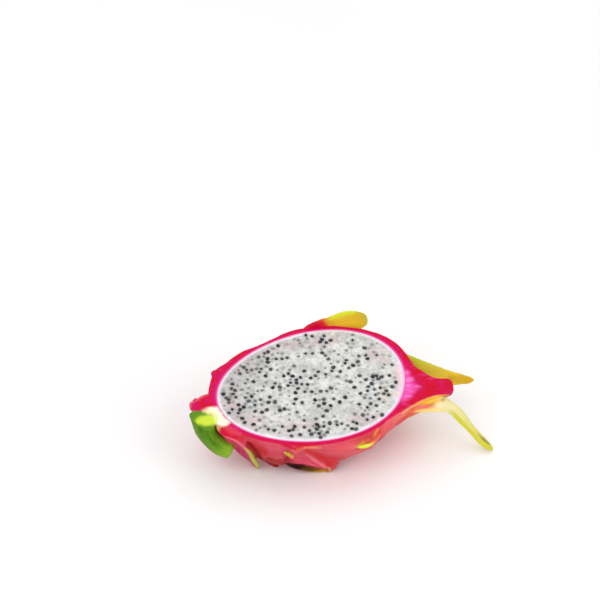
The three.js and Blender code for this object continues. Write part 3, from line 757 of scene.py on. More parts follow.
# Patches of another colour on the rind: reach at evenly spread places along a line, strength, the line. The
# scarlet, deep red, mauve, umber and olive ones are painted shade, and the blush lines are partly painted
# highlight.
tints = {
    "flare": [
        ([7.5], 1.0, [(30, -28, -5), (38, -24, -5), (47, -19, -4), (55, -15, -3.4)]),
        ([6], 0.5, [(8, -37, -6), (20, -34, -4), (30, -29, -6)]),
    ],
    # painted shade: saturated red on the shaded side of the broad leaf's crease, beside the leaf by the stem
    # and under the rim
    "scarletShade": [
        ([1.6, 3, 3, 2.2], 1.0, [(-8.5, -37.8, -4.1), (-5.2, -37.2, -7.8), (-2.4, -36.6, -11.6),
                                 (0.6, -36.2, -15.6), (3.6, -36, -18.6), (5.6, -35.4, -22)]),
        ([3.4, 5.4], 0.7, [(-0.8, -36.1, -12.2), (3.4, -36, -15.4), (7.8, -35.3, -18.7)]),
        ([4.2, 5.6], 0.8, [(-34.6, -31, -6), (-31, -32.4, -10), (-29.4, -31.6, -18)]),
        ([2.6], 0.8, [(-44, -28.6, -0.4), (-38, -31.6, -1.4), (-34, -33, -2)]),
    ],
    # painted shade: dark red in the folds beside the leaf by the stem, under the belly's scales, on the pad's
    # lip, under the curled tip and under the neck
    "deepRedShade": [
        ([1.3, 2.6, 3.2, 3], 1.0, [(-37.2, -29.3, -5.4), (-35.4, -30.6, -7.8), (-33.4, -31.5, -10.4),
                                   (-31.6, -31.8, -14), (-30.4, -31, -20)]),
        ([2.6], 0.9, [(-30.4, -27, -25), (-27.6, -28.3, -23.6), (-25.7, -29.4, -24), (-22, -30, -25.6)]),
        ([2.4], 0.7, [(-21, -32, -22), (-18.6, -33.4, -20), (-16.6, -33, -20)]),
        ([2.6, 3.4], 0.85, [(-29, -31.6, -18), (-25.9, -32.4, -19.4), (-22.4, -33.2, -19.2),
                            (-19, -34.4, -17.4)]),
        ([3.4, 4.2, 2.6], 0.72, [(-27, -34, -15.4), (-23.3, -35.1, -16.4), (-20.3, -35.2, -16.2),
                                 (-18, -34.6, -15.2)]),
        ([3], 0.35, [(-33, -32, -8), (-30, -33.6, -10.4), (-28, -33.8, -12)]),
        ([3], 0.9, [(-34.1, -30.1, -12.2), (-33, -29.8, -14.4), (-31.9, -28.8, -18.3), (-31, -28.4, -22)]),
        ([1.4], 0.3, [(18, -36.8, -8.4), (24, -36.4, -8.8), (28, -34, -9)]),
        ([1.4], 0.6, [(66, -9.4, -5), (71.6, -9, -3)]),
    ],
    "crimson": [
        ([1.6, 1.3], 1.0, [(-20, -36.9, -0.2), (-17.6, -37, -0.8), (-15.6, -37.2, -2.4),
                           (-13.9, -37.4, -3.8)]),
        ([1.3, 1.6], 1.0, [(-13.9, -37.4, -3.6), (-11.6, -38, -0.8), (-8.6, -38.2, 0.2)]),
        ([1.1], 0.8, [(-46, -28.4, 0), (-38, -32.6, 0), (-28, -36, 0), (-18, -38, 0)]),
        ([6], 1.0, [(-57, -4, -1), (-64, -7, -1)]),
    ],
    # painted shade: darker mauve on the shaded outer face of the leaf beside the stem, and a patch near the
    # neck's end
    "mauveShade": [
        ([2.4, 3.4, 2.8], 0.9, [(-47, -28.2, -3.4), (-43.4, -30.3, -6.4), (-41, -30.4, -10),
                                (-39, -29.6, -15.2), (-37, -28.6, -21), (-34.6, -27.8, -26)]),
        ([2.2], 0.95, [(70.4, -11, -2), (72, -9.6, -2.6)]),
    ],
    "orange": [
        ([0.7, 1.6, 2, 0.9], 0.42, [(-13.4, -37.1, -6.1), (-12.1, -38, -3.4), (-7.6, -38.5, -0.9),
                                    (-1, -38.9, -2.4)]),
        ([1.9], 0.75, [(25.4, -36, -5.4), (27.4, -34, -4.8), (28.6, -32.4, -4)]),
        ([1.3], 0.7, [(22.2, -35.2, -5.8), (24.6, -34.2, -5.4)]),
        ([1.6, 2.6], 0.8, [(40, -23.4, -4), (47, -19.6, -4.4), (53, -16, -6.4)]),
    ],
    "gold": [
        ([0.7], 0.7, curledTipLine[:3]),
        ([0.7, 1.3, 2.0, 2.8, 1.6], 1.0, [(43.8, -21.3, -1.2), (49.7, -17.5, -1.6), (56.2, -13.5, -3),
                                          (62.7, -11.9, -2.6), (67.6, -11.4, -2.4)]),
        ([1.4], 0.9, [(60, -13.9, -4.7), (62.2, -12.6, -4.3)]),
        ([0.9], 0.8, [(-17, -37.6, -7), (-16, -37.4, -8.8), (-15, -36.4, -11)]),
        ([1.2, 1.5, 0.8], 0.26, [(-8.6, -38.6, -1.2), (-5, -38.7, -1.8), (-1.6, -38.8, -2.8)]),
        ([1.2], 0.6, [(25.4, -36.2, -5.2), (27.2, -34.2, -4.8)]),
    ],
    # pale pink lines: painted highlight along the ridge of the leaf beside the stem and along the broad
    # leaf's crease; the other patches are the rind's own pale pink
    "blushAndHighlight": [
        ([0.42], 0.8, [(-52.6, -25, -0.4), *stemFoldLine[:-1]]),
        ([0.2, 0.6, 1.1, 1.3, 1.2, 0.6], 0.6, [(-8.6, -37, -8), *broadLeafLine[1:]]),
        ([1.6, 2, 1.2], 0.25, [(-47.6, -22.6, 0), (-44.4, -25.4, 0), (-41.2, -27.4, 0)]),
        ([0.6], 0.8, [(-54.9, 0.6, 0), (-59.2, -1.2, 0), (-61.9, -3, 0), (-64.3, -4.4, 0), (-64.9, -5.8, 0),
                      (-64.9, -8.4, 0), (-64.6, -10.2, 0), (-63.1, -10.6, 0)]),
        ([1.7], 0.8, [(52.6, -15.6, -5.4), (56.5, -15.9, -5.4), (59.5, -16.4, -5.2)]),
        ([1.0], 0.6, [(-15.4, -36.9, -5), (-14.2, -37, -6)]),
        ([0.8], 0.6, [(34, -27, -0.6), (44, -21, -0.6), (52, -16.4, -0.6)]),
    ],
    "green": [
        ([0.5, 1.1, 1.6, 1.3], 1.0, [(-38.6, -31.4, -7), (-36.3, -31.3, -11.2), (-34.7, -31.1, -15.9),
                                     (-33.1, -30.7, -20.8), (-31.9, -29.5, -25.8)]),
        ([1.0], 0.9, [(-51.4, -21.4, 0), (-51.8, -23, -0.4), (-52.2, -24.6, -0.8)]),
        ([0.5, 0.8], 0.75, [(4.2, -35, -24), (5, -34.6, -26.4), (4.8, -34, -28.4)]),
    ],
    "lime": [
        ([1.2, 2.4, 2.5, 1.3], 0.95, [(17.6, -38, -5.2), (20.4, -38, -5), (22.6, -37.8, -5),
                                      (24.6, -37, -5.4)]),
    ],
    "butter": [
        ([1.2, 1.8, 2.4, 2.6, 2.4], 0.85, [(52, -18.2, -4.6), (55.4, -19, -4), (58.5, -19.2, -3.8),
                                           (61.7, -19.2, -4), (64.4, -19, -4)]),
    ],
    "darkGold": [
        ([0.8], 0.7, [(58.6, -15.2, -4.6), (61.7, -13.6, -5), (64, -12.8, -5.2), (67, -11.6, -5)]),
        ([2.4, 4, 3.4], 0.55, [(74, 4, -7), (81, 2.8, -7.4), (86, 2.2, -7)]),
        ([1.4], 0.5, [(-18, -38, -6.2), (-16.4, -37.8, -8), (-15.4, -37, -9.6)]),
    ],
    # painted shade: near-black brown on the strip under the broad leaf
    "umberShade": [
        ([2.8, 3.2, 3, 1.8], 1.0, [(-17, -31.4, -23.4), (-13.5, -32.6, -23.6), (-9.5, -33.5, -24.6),
                                   (-5, -34, -25.8)]),
    ],
    # painted shade: dark olive on the strip under the broad leaf and near the long leaf's tip
    "oliveShade": [
        ([1.2, 2.2, 2.6], 0.95, [(-9.5, -34, -25.6), (-5.3, -34.1, -26.2), (-1.6, -33.9, -27),
                                 (1, -33.7, -27.6)]),
        ([0.6, 1, 0.6], 0.7, [(84.6, -21.2, -23.6), (87.4, -23.1, -25.8), (89, -24, -27), (90.6, -25, -28)]),
    ],
    "ochre": [
        ([0.8, 1.6, 1.8, 1.2], 0.95, [(-5, -33.8, -28), (-1, -33.8, -28.6), (2, -33.8, -28.6),
                                      (4.4, -34, -28.8)]),
    ],
}
backLeafTints = {
    "crimson": [([7, 6.5], 1.0, [(-2, 38, -8), (4, 41.4, -3), (7.6, 42.4, -1)])],
    "lime": [([1.2, 2, 2], 0.75, [(14.4, 42.6, 4.2), (18, 42.6, 6), (22, 42.6, 7.6), (26, 42.4, 8.2)])],
    "green": [([1.4, 1.6], 0.4, [(32, 42.2, 5), (34.4, 41.6, 1.4), (34, 41.6, -3)])],
}
# Outlines of coloured parts of the cut face: x and y of their corners.
cutLook = {
    "pith": [(-57.6, -9.6), (-55.2, -8.6), (-51.1, -8.6), (-49.6, -12), (-47.9, -16.2), (-45.4, -19.1),
             (-47.4, -20.9), (-50.2, -21.4), (-52.2, -19.8), (-53, -16.6), (-54.2, -13.4), (-56.8, -12),
             (-58.6, -11.2)],
    "fibre": [(46, 5.6), (45.6, -1.1), (44, -7.8), (44.4, -14.2), (49.6, -12), (52, -8.4), (55, -6.4),
              (52.6, -3.2), (51.6, 1.3), (50, 6.2)],
    "stemBright": [(-63, -16.4), (-60.4, -14.2), (-57.4, -13.2), (-54.3, -13.2), (-51.6, -16), (-51.4, -19),
                   (-54.3, -20), (-57.9, -20), (-61.5, -18.8)],
}


# Tubes of the skin and of each leaf, fused, smoothed and detailed; then the knife, the flesh, the
# stem and the floor are cut out of them.
def buildPeel():
    raw = meshFromTubes("peel", [skinRings(), *(leafRings(leaf) for leaf in allLeaves)])
    piece = objectOf("peel_skin", raw)
    remesh(piece, peelLook["voxel"])
    relax(piece.data, peelLook["relaxRounds"], peelLook["relaxStep"], peelLook["relaxBack"])
    raiseDetails(piece.data)
    socket = objectOf("socket", meshFromTubes("socket", [leafRings(stemStub, grow=fruit["seam"])]))
    cutWith(piece, [knifeObject(), hollowObject(fruit["seam"]), socket, floorObject()])
    mesh = piece.data
    dissolveInLine(mesh)
    points = pointsOf(mesh)
    onCut = leftByKnife(points)
    paintPeel(mesh, points, onCut)
    shadeWithCrispCut(mesh, onCut)
    setPoints(mesh, toPart(points))
    return piece


# Moves every point along its normal: up on the ridges, in small lumps on the lobe at the base, and
# in a fine leathery grain everywhere.
def raiseDetails(mesh):
    points = pointsOf(mesh)
    normals = np.empty(len(points) * 3, np.float32)
    mesh.vertex_normals.foreach_get("vector", normals)
    rise = noiseSum(points, peelLook["grain"])
    for halfWidth, height, path in ridges:
        rise += height * np.exp(-(nearLine(points, path)[0] / halfWidth) ** 2)
    atLobe = smooth(*peelLook["lobeX"], points[:, 0]) * smooth(*peelLook["lobeY"], points[:, 1])
    rise += atLobe * peelLook["ragged"] * noiseSum(points, peelLook["raggedLumps"])
    setPoints(mesh, points + normals.reshape(-1, 3) * rise[:, None])


# The station of a centre line that is nearest to each point, and the way from it to the point.
def nearestStation(points, line):
    k = ((points[:, None] - line["centre"][None]) ** 2).sum(-1).argmin(1)
    return k, points - line["centre"][k]


# For each point, its best leaf: how much the point belongs to it, shares along and across it, and
# its number and length. Leaves are tried one after the other, and the one that holds a point best
# keeps it.
def leafFields(points, leafList):
    best, along, across, leafIndex = (np.zeros(len(points)) for _ in range(4))
    length = np.ones(len(points))
    share = np.linspace(0, 1, leafLook["stations"])
    for number, leaf in enumerate(leafList):
        line = leafFrame(leaf, share)
        reach = line["halfWidth"].max() + leafLook["reach"]
        low, high = line["centre"].min(0) - reach, line["centre"].max(0) + reach
        near = np.flatnonzero(((points > low) & (points < high)).all(1))
        k, offset = nearestStation(points[near], line)
        u = (offset * line["across"][k]).sum(-1) / (line["halfWidth"][k] + leafLook["slack"])
        uHere = np.clip(u, -leafLook["farthestAcross"], leafLook["farthestAcross"])
        bend = leafBend(leaf, uHere) * line["halfWidth"][k]
        v = ((offset * line["out"][k]).sum(-1) + bend) / (line["halfThick"][k] + leafLook["slack"])
        member = 1 - smooth(*leafLook["belongs"], np.hypot(u, v))
        better = member > best[near]
        chosen = near[better]
        total = np.linalg.norm(np.diff(line["centre"], axis=0), axis=1).sum()
        step = (offset * line["along"][k]).sum(-1) / total
        best[chosen], along[chosen] = member[better], (share[k] + step)[better]
        across[chosen], leafIndex[chosen], length[chosen] = u[better], number, total
    return best, along, across, leafIndex.astype(int), length


# Leaf colours as masks: turned, leafHue, pale, flange; and grain, which runs along each midrib.
# Between root and tip a value changes evenly, and the edges of a leaf turn and green a little sooner.
def paintLeaves(mesh, points, leafList, bodyGrain):
    member, along, across, number, length = leafFields(points, leafList)
    turns, hue, pale, flange, flangeFrom = (
        np.array([leaf[key] for leaf in leafList], float)[number].T
        for key in ("turns", "hue", "pale", "flange", "flangeFrom")
    )
    height, cell, seed = leafLook["turnNoise"]
    lead = along + leafLook["turnBow"] * across ** 2 + height / length * noiseField(points, cell, seed)
    onFlange = smooth(*leafLook["flangeSide"], across * flange)
    onFlange = onFlange * smooth(*leafLook["flangeStart"], along - flangeFrom)
    place = [along * length, across * leafLook["grainAcross"], number * leafLook["grainApart"]]
    setMasks(mesh, {
        "turned": smooth(0, 1, (lead - turns[0]) / (turns[1] - turns[0])) * member,
        "leafHue": hue[0] + (hue[1] - hue[0]) * along + leafLook["edgeHue"] * across ** 4,
        "pale": (pale[0] + (pale[1] - pale[0]) * along) * member,
        "flange": onFlange * member * np.abs(flange),
        "grain": np.where((member > 0.5)[:, None], np.stack(place, -1), bodyGrain),
    })
    return member


# How far a point in the cut face is outside the flesh, in millimetres.
def outsidePulp(points):
    return (eggShare(pulp, points[:, 0], points[:, 1], 0) - 1) * pulp["width"]


# How far each point is from a line of straight parts, and the share of the line that is nearest to it.
def nearLine(points, line):
    line = np.asarray(line, float)
    nearest, place = np.full(len(points), np.inf), np.zeros(len(points))
    for part, (a, b) in enumerate(zip(line[:-1], line[1:])):
        t = np.clip(((points - a) @ (b - a)) / ((b - a) @ (b - a)), 0, 1)
        away = np.linalg.norm(points - a - t[:, None] * (b - a), axis=1)
        closer = away < nearest
        nearest[closer], place[closer] = away[closer], part + t[closer]
    return nearest, place / (len(line) - 1)


# How deep points in the cut face are inside a many-sided outline, in millimetres; below 0 outside.
# A point is inside when a line from it towards larger x crosses the outline an odd number of times.
def depthInside(points, outline):
    corners = np.array([*outline, outline[0]], float)
    crossings = np.zeros(len(points))
    for a, b in zip(corners[:-1], corners[1:]):
        spans = (a[1] > points[:, 1]) != (b[1] > points[:, 1])
        slope = (b[0] - a[0]) / (b[1] - a[1]) if b[1] != a[1] else 0
        crossings += spans & (points[:, 0] < a[0] + slope * (points[:, 1] - a[1]))
    depth = nearLine(points, corners)[0] * np.where(crossings % 2 == 1, 1, -1)
    return np.clip(depth, -peelLook["deepest"], peelLook["deepest"])


# How much each point belongs to patches along lines: 1 at a line's middle, fading past its reach.
def tintMask(points, patches):
    spread = noiseSum(points, peelLook["tintNoise"], 1)
    mask = np.zeros(len(points))
    for reach, strength, path in patches:
        away, place = nearLine(points, path)
        reachHere = np.interp(place, np.linspace(0, 1, len(reach)), reach) * spread
        mask = np.maximum(mask, strength * np.exp(-(away / reachHere) ** 3))
    return mask


# One mask for each tint: at each point, the strongest of the tint's patches.
def paintTints(mesh, points, tintLines):
    setMasks(mesh, {name + "Tint": tintMask(points, patches) for name, patches in tintLines.items()})


# How near each point is to a pad's crest, on its rim, or in the dip past its tip, which the rind's material
# paints with shade.
def padMasks(x, angle, radius):
    masks = {name: np.zeros_like(x) for name in ("crest", "rim", "dip")}
    for pad in pads:
        s, t = onPad(pad, x, angle, radius)
        within = 1 - smooth(*peelLook["sides"], np.abs(t))
        onRim = np.exp(-((np.abs(t) - peelLook["rimAt"]) / peelLook["rimWidth"]) ** 2)
        for name, across in (("crest", within), ("rim", onRim), ("dip", within)):
            lengthwise = smooth(*peelLook[name], s) * (1 - smooth(*peelLook[name + "Fall"], s))
            masks[name] = np.maximum(masks[name], across * lengthwise)
    return masks


# Every mask that the rind's material reads. On the body the grain runs along x and round the axis.
def paintPeel(mesh, points, onCut):
    x, y, z = points.T
    radius = np.hypot(y - axisY(x), z)
    angle = np.arctan2(-z, y - axisY(x))
    bodyGrain = np.stack([x, angle * peelLook["grainRadius"], radius], -1)
    member = paintLeaves(mesh, points, allLeaves, bodyGrain)
    stemX, stemY = peelLook["stemPlace"]
    fromStem = np.hypot(x - stemX, peelLook["stemSquash"] * (y - stemY))
    neckEnd = peelLook["neckShare"] * smooth(*peelLook["neckEnd"], x)
    onPads = {
        name: values * (1 - member) * (1 - onCut) for name, values in padMasks(x, angle, radius).items()
    }
    setMasks(mesh, {
        "cutFace": onCut.astype(float),
        "pulpGap": np.clip(outsidePulp(points), 0, peelLook["farFromPulp"]),
        "pithDepth": depthInside(points[:, :2], cutLook["pith"]),
        "fibreDepth": depthInside(points[:, :2], cutLook["fibre"]),
        "stemNear": smooth(*peelLook["stemNear"], fromStem),
        "towardEnds": np.maximum(smooth(*peelLook["baseEnd"], x), neckEnd),
        **onPads,
    })
    paintTints(mesh, points, tints)


# The leaf behind the back rim is a tube of its own, past the knife's reach.
def buildBackLeaf():
    piece = objectOf("peel_back_leaf", meshFromTubes("back_leaf", [leafRings(backLeaf, 120, 48)]))
    mesh = piece.data
    points = pointsOf(mesh)
    paintLeaves(mesh, points, [backLeaf], points)
    paintTints(mesh, points, backLeafTints)
    shadeSmooth(mesh)
    setPoints(mesh, toPart(points))
    return piece


# The flesh: rings of the face and of the bowl under it; then how it domes, is rounded off at its edge
# from a share of the way out, and is dimpled round each seed.
flesh = {
    "rings": 96, "sides": 560, "bowlRings": 26, "bowlFrom": 1.5, "bowlTo": 89,  # degrees below the edge
    "lumps": [(0.10, 6, 51), (0.06, 2.2, 52), (0.03, 0.9, 53)],  # height, cell, seed
    "dome": 0.2, "edgeRound": 0.14, "edgeFrom": 0.985,
    "dimple": 0.25, "dimpleReach": 1.8, "dimpleSharp": 2,
    "neckX": (37, 45), "neckFrontY": (-17, -11), "neckBackY": (14, 8),  # where its margin widens
    "farFromSeeds": 5,
}
seeds = {
    "crisp": 172, "deep": 170,  # how many lie at the surface and below it
    "draw": 11, "tries": 9000, "sides": 8, "rows": 6,
    "length": 1.2, "width": 0.92, "height": 0.62,  # half sizes
    "sizes": (0.74, 1.2), "tilt": 0.5, "pointed": 0.28, "sunk": 0.12,
    "margin": 1.9, "marginSpread": 0.8, "pastEdge": (1, 5),  # from the edge, and past it for the tries
    "apart": 1.75, "apartSparse": 1.35, "apartCloser": 0.45,  # times apart; less where they are thick
    "evenly": 0.6, "clouds": [(0.6, 9, 41), (0.3, 4, 42)], "cloudRange": (0.15, 1.2),
    "spread": 0.5, "inClumps": 0.6, "sparser": 0.75,
    "deepSizes": (1.05, 1.85), "deepDark": (0.36, 1.0), "deepBlur": 0.15,
    "clumps": [  # x, y, reach
        (-44, -4, 4.5), (-44.5, -12, 3.4), (-45, 5, 3), (-40, -20, 3.6), (-30, -24, 4), (-26.4, 3.8, 3),
        (-31, -4, 4), (-18.8, 1.6, 2.6), (-12.4, 3, 2.6), (-14, 31.4, 4), (-18, 29, 3), (-36.4, 22, 3.6),
        (-27, 14, 3), (-3.9, 0.4, 2), (1.6, 8, 2.4), (-2, -28, 4), (-9.5, -19, 3), (1, -12, 4), (8, -25, 2.6),
        (9.3, 30.4, 3), (17.3, 16.6, 2.4), (37, 21.6, 3.6), (33, 4, 3), (31, -10, 3.4), (36, -3, 2.4),
        (24.3, -18.9, 2.6), (42, 9, 2.4),
    ],
    # x, y, reach along x and y
    "sparse": [(16, -4, 11, 9), (0, 14, 9, 6), (42, -8, 5, 6), (20, 26, 9, 6), (30, 10, 6, 5)],
}
# Dusky, grey and orange patches in the flesh: x, y, reach along x and y.
stains = {
    "dusky": [(-38, 18, 12, 7), (-24, 27, 10, 4.5), (-43, -8, 5, 12), (-34, -20, 10, 6), (9, 31, 10, 3.5),
              (36, 18, 7, 6), (24, -24, 12, 4), (-8, 30, 8, 3), (-10, -26, 14, 4), (45, 0, 3, 9)],
    "grey": [(-46, 2, 11, 22), (-36, 14, 10, 10), (-30, 22, 12, 6), (-14, 31, 14, 4)],
    "orange": [(45.3, 5.4, 1.2, 1.8), (41.9, -9.2, 1.4, 1.5), (36, -8, 2, 4)],
}


# 1 at the middle of any of the patches, fading as e to minus the square of the distance over its reach.
def patchMask(x, y, patches):
    mask = np.zeros_like(x)
    for at, across, reachX, reachY in patches:
        mask = np.maximum(mask, np.exp(-((x - at) / reachX) ** 2 - ((y - across) / reachY) ** 2))
    return mask


# Where seeds are thicker: in small clumps, and in loose clouds between them that thin out in places.
def seedDensity(x, y):
    cloud = np.clip(noiseSum(inCutFace(x, y), seeds["clouds"], seeds["evenly"]), *seeds["cloudRange"])
    clump = np.zeros_like(x)
    for at, across, reach in seeds["clumps"]:
        clump = np.maximum(clump, np.exp(-((x - at) ** 2 + (y - across) ** 2) / reach ** 2))
    density = seeds["spread"] * cloud * (1 - seeds["sparser"] * patchMask(x, y, seeds["sparse"]))
    return np.clip(density + seeds["inClumps"] * clump, 0, 1)


# Places for the seeds: random ones, kept as often as seeds are thick there, away from the edge and
# from the seeds before them. Some are drawn to lie at the surface, and the others below it.
def placeSeeds():
    draw = np.random.default_rng(seeds["draw"])
    half = [pulp["length"] + seeds["pastEdge"][0], pulp["width"] + seeds["pastEdge"][1]]
    tries = draw.uniform(-1, 1, (seeds["tries"], 2)) * half + [pulp["x"], pulp["y"]]
    density = seedDensity(*tries.T)
    margin = seeds["margin"] + draw.exponential(seeds["marginSpread"], len(tries))
    thickEnough = draw.uniform(0, 1, len(tries)) < density
    keep = thickEnough & (eggShare(pulp, *tries.T, 0) < 1 - margin / pulp["width"])
    placed = []
    for spot, thick in zip(tries[keep], density[keep]):
        if len(placed) == seeds["crisp"] + seeds["deep"]:
            break
        apart = seeds["apart"] * (seeds["apartSparse"] - seeds["apartCloser"] * thick)
        if not placed or np.hypot(*(np.array(placed) - spot).T).min() > apart:
            placed.append(spot)
    placed = np.array(placed)
    crisp = np.zeros(len(placed), bool)
    crisp[draw.permutation(len(placed))[: seeds["crisp"]]] = True
    return placed[crisp], placed[~crisp]


crispSpots, deepSpots = placeSeeds()
print("seeds placed:", len(crispSpots), "at the surface,", len(deepSpots), "below it")


# The height of the flesh's face: level with the rind at its edge, a low dome, and lumps of pulp.
def fleshHeight(x, y, share):
    lumps = noiseSum(inCutFace(x, y), flesh["lumps"])
    height = knifeHeight(x, y) + flesh["dome"] * (1 - share ** 4) + lumps * (1 - share ** 8)
    return height - flesh["edgeRound"] * smooth(flesh["edgeFrom"], 1.0, share)


# How far each place is from the nearest of the spots.
def nearestSpot(x, y, spots):
    nearest = np.full(x.shape, np.inf)
    for spot in spots:
        np.minimum(nearest, np.hypot(x - spot[0], y - spot[1]), out=nearest)
    return nearest


# Blurred dark spots, each of its own size and darkness, for the seeds that show through the pulp.
def blurredSpots(x, y, spots, draw):
    mask = np.zeros_like(x)
    for spot in spots:
        size, dark = draw.uniform(*seeds["deepSizes"]), draw.uniform(*seeds["deepDark"])
        away = np.hypot(x - spot[0], y - spot[1]) / size
        np.maximum(mask, dark * (1 - smooth(seeds["deepBlur"], 1, away)), out=mask)
    return mask


# Rings from the middle of the cut face out to its edge, then down the bowl to its lowest point. Each
# seed at the surface sits in a shallow dimple of the face.
def buildFlesh():
    longitude = onceRound(flesh["sides"])
    edge = eggPoint(pulp, np.zeros_like(longitude), longitude, 0)[:, :2]
    centre = np.array([pulp["x"], pulp["y"]])
    share = (np.arange(1, flesh["rings"] + 1) / flesh["rings"])[:, None]
    x = centre[0] + share * (edge[:, 0] - centre[0])
    y = centre[1] + share * (edge[:, 1] - centre[1])
    height = fleshHeight(x, y, np.broadcast_to(share, x.shape))
    crispNear = nearestSpot(x, y, crispSpots)
    atNeck = smooth(*flesh["neckX"], x) * smooth(*flesh["neckBackY"], y) * smooth(*flesh["neckFrontY"], y)
    dimple = np.exp(-(crispNear / flesh["dimpleReach"]) ** 2 * flesh["dimpleSharp"])
    face = np.stack([x, y, height - flesh["dimple"] * dimple], -1)
    latitude = -np.radians(np.linspace(flesh["bowlFrom"], flesh["bowlTo"], flesh["bowlRings"]))
    latitude, around = np.meshgrid(latitude, longitude, indexing="ij")
    bowl = eggPoint(pulp, latitude, around, 0)
    # the rings travel from the top down, so they turn clockwise seen from above
    rings = np.concatenate([face, bowl])[:, ::-1]
    piece = objectOf("flesh_pulp", meshFromTubes("flesh", [rings]))
    mesh = piece.data
    zeros = np.zeros(bowl.shape[:2])
    onFace = {
        "inside": (1 - share) * np.hypot(edge[:, 0] - centre[0], edge[:, 1] - centre[1]),
        "crispNear": crispNear,
        "deepSeed": blurredSpots(x, y, deepSpots, np.random.default_rng(seeds["draw"] + 2)),
        "dusky": patchMask(x, y, stains["dusky"]),
        "greyed": patchMask(x, y, stains["grey"]),
        "stain": patchMask(x, y, stains["orange"]),
        "atNeck": atNeck,
    }
    # the bowl has none of them; the last two values are for the middle points of both ends
    for name, values in onFace.items():
        below = zeros + flesh["farFromSeeds"] if name == "crispNear" else zeros
        column = np.concatenate([values, below])[:, ::-1].ravel()
        setMasks(mesh, {name: np.concatenate([column, [values[0].mean(), below[-1].mean()]])})
    shadeSmooth(mesh)
    setPoints(mesh, toPart(pointsOf(mesh)))
    return piece


# Each seed is a small egg, pointed at one end, lying in the cut face and half sunk in it: its radius
# is the cosine of the latitude, less towards the point. It is tilted, then turned.
def buildSeeds():
    draw = np.random.default_rng(seeds["draw"] + 1)
    latitude = np.pi * (np.arange(1, seeds["rows"]) / seeds["rows"] - 0.5)
    latitude, longitude = np.meshgrid(latitude, onceRound(seeds["sides"]), indexing="ij")
    taper = 1 - seeds["pointed"] * np.sin(latitude)
    shape = np.stack([np.sin(latitude), np.cos(latitude) * np.cos(longitude) * taper,
                      np.cos(latitude) * np.sin(longitude) * taper], -1)
    ringSets, veils = [], []
    dimpleHeight = fleshHeight(*crispSpots.T, eggShare(pulp, *crispSpots.T, 0)) - flesh["dimple"]
    for spot, height in zip(crispSpots, dimpleHeight):
        size = draw.uniform(*seeds["sizes"]) * np.array([seeds["length"], seeds["width"], seeds["height"]])
        turn, tilt = draw.uniform(0, 2 * math.pi), draw.uniform(-seeds["tilt"], seeds["tilt"])
        rings = shape * size
        cos, sin = math.cos(tilt), math.sin(tilt)
        rings = rings @ np.array([[cos, 0, sin], [0, 1, 0], [-sin, 0, cos]])
        cos, sin = math.cos(turn), math.sin(turn)
        rings = rings @ np.array([[cos, sin, 0], [-sin, cos, 0], [0, 0, 1]])
        ringSets.append(rings + [*spot, height + seeds["sunk"]])
        veils.append(draw.uniform(0, 1) ** 2)  # few are pale, most are dark
    piece = objectOf("flesh_seeds", meshFromTubes("seeds", ringSets))
    mesh = piece.data
    setMasks(mesh, {"veil": np.repeat(veils, len(mesh.vertices) // len(veils))})
    shadeSmooth(mesh)
    setPoints(mesh, toPart(pointsOf(mesh)))
    return piece


# The stem stub: its rows and sides, the cell of the knife that cuts it, and its ribs.
stemLook = {
    "rows": 140, "sides": 72, "knifeCell": 0.5,
    "ribs": [(0.03, 3, 0.6), (0.012, 8, 0)], "drawnIn": 0.03,  # share of the radius, count, shift
    "ribsFrom": (-0.6, -5),  # heights between which the ribs set in below the cut
    "grainLength": 34, "grainRadius": 5,
}


# The stub's skin has soft lengthwise ribs: the ring's radius swells with cosines of the turn.
def buildStem():
    rings = leafRings(stemStub, stemLook["rows"], stemLook["sides"])
    middle = rings.mean(1, keepdims=True)
    turn = onceRound(stemLook["sides"])
    ribs = sum(swell * np.cos(count * turn + shift) for swell, count, shift in stemLook["ribs"])
    belowCut = smooth(*stemLook["ribsFrom"], rings[..., 2:])
    rings = middle + (rings - middle) * (1 + belowCut * (ribs - stemLook["drawnIn"])[None, :, None])
    piece = objectOf("stem_stub", meshFromTubes("stem", [rings]))
    cutWith(piece, [knifeObject(stemLook["knifeCell"])])
    mesh = piece.data
    points = pointsOf(mesh)
    onCut = leftByKnife(points)
    share = np.linspace(0, 1, leafLook["stations"])
    line = leafFrame(stemStub, share)
    k, offset = nearestStation(points, line)
    turn = np.arctan2((offset * line["out"][k]).sum(-1), (offset * line["across"][k]).sum(-1))
    place = [share[k] * stemLook["grainLength"], turn * stemLook["grainRadius"], np.zeros(len(points))]
    setMasks(mesh, {
        "cutFace": onCut.astype(float),
        "alongStem": share[k],
        "grain": np.stack(place, -1),
        "brightDepth": depthInside(points[:, :2], cutLook["stemBright"]),
        "pithDepth": depthInside(points[:, :2], cutLook["pith"]),
    })
    shadeWithCrispCut(mesh, onCut)
    setPoints(mesh, toPart(points))
    return piece


# A colour in screen values from 0 to 255, as the linear one that shaders work with.
def srgb(red, green, blue):
    def linear(v):
        v = v / 255
        return v / 12.92 if v <= 0.04045 else ((v + 0.055) / 1.055) ** 2.4
    return (linear(red), linear(green), linear(blue), 1.0)


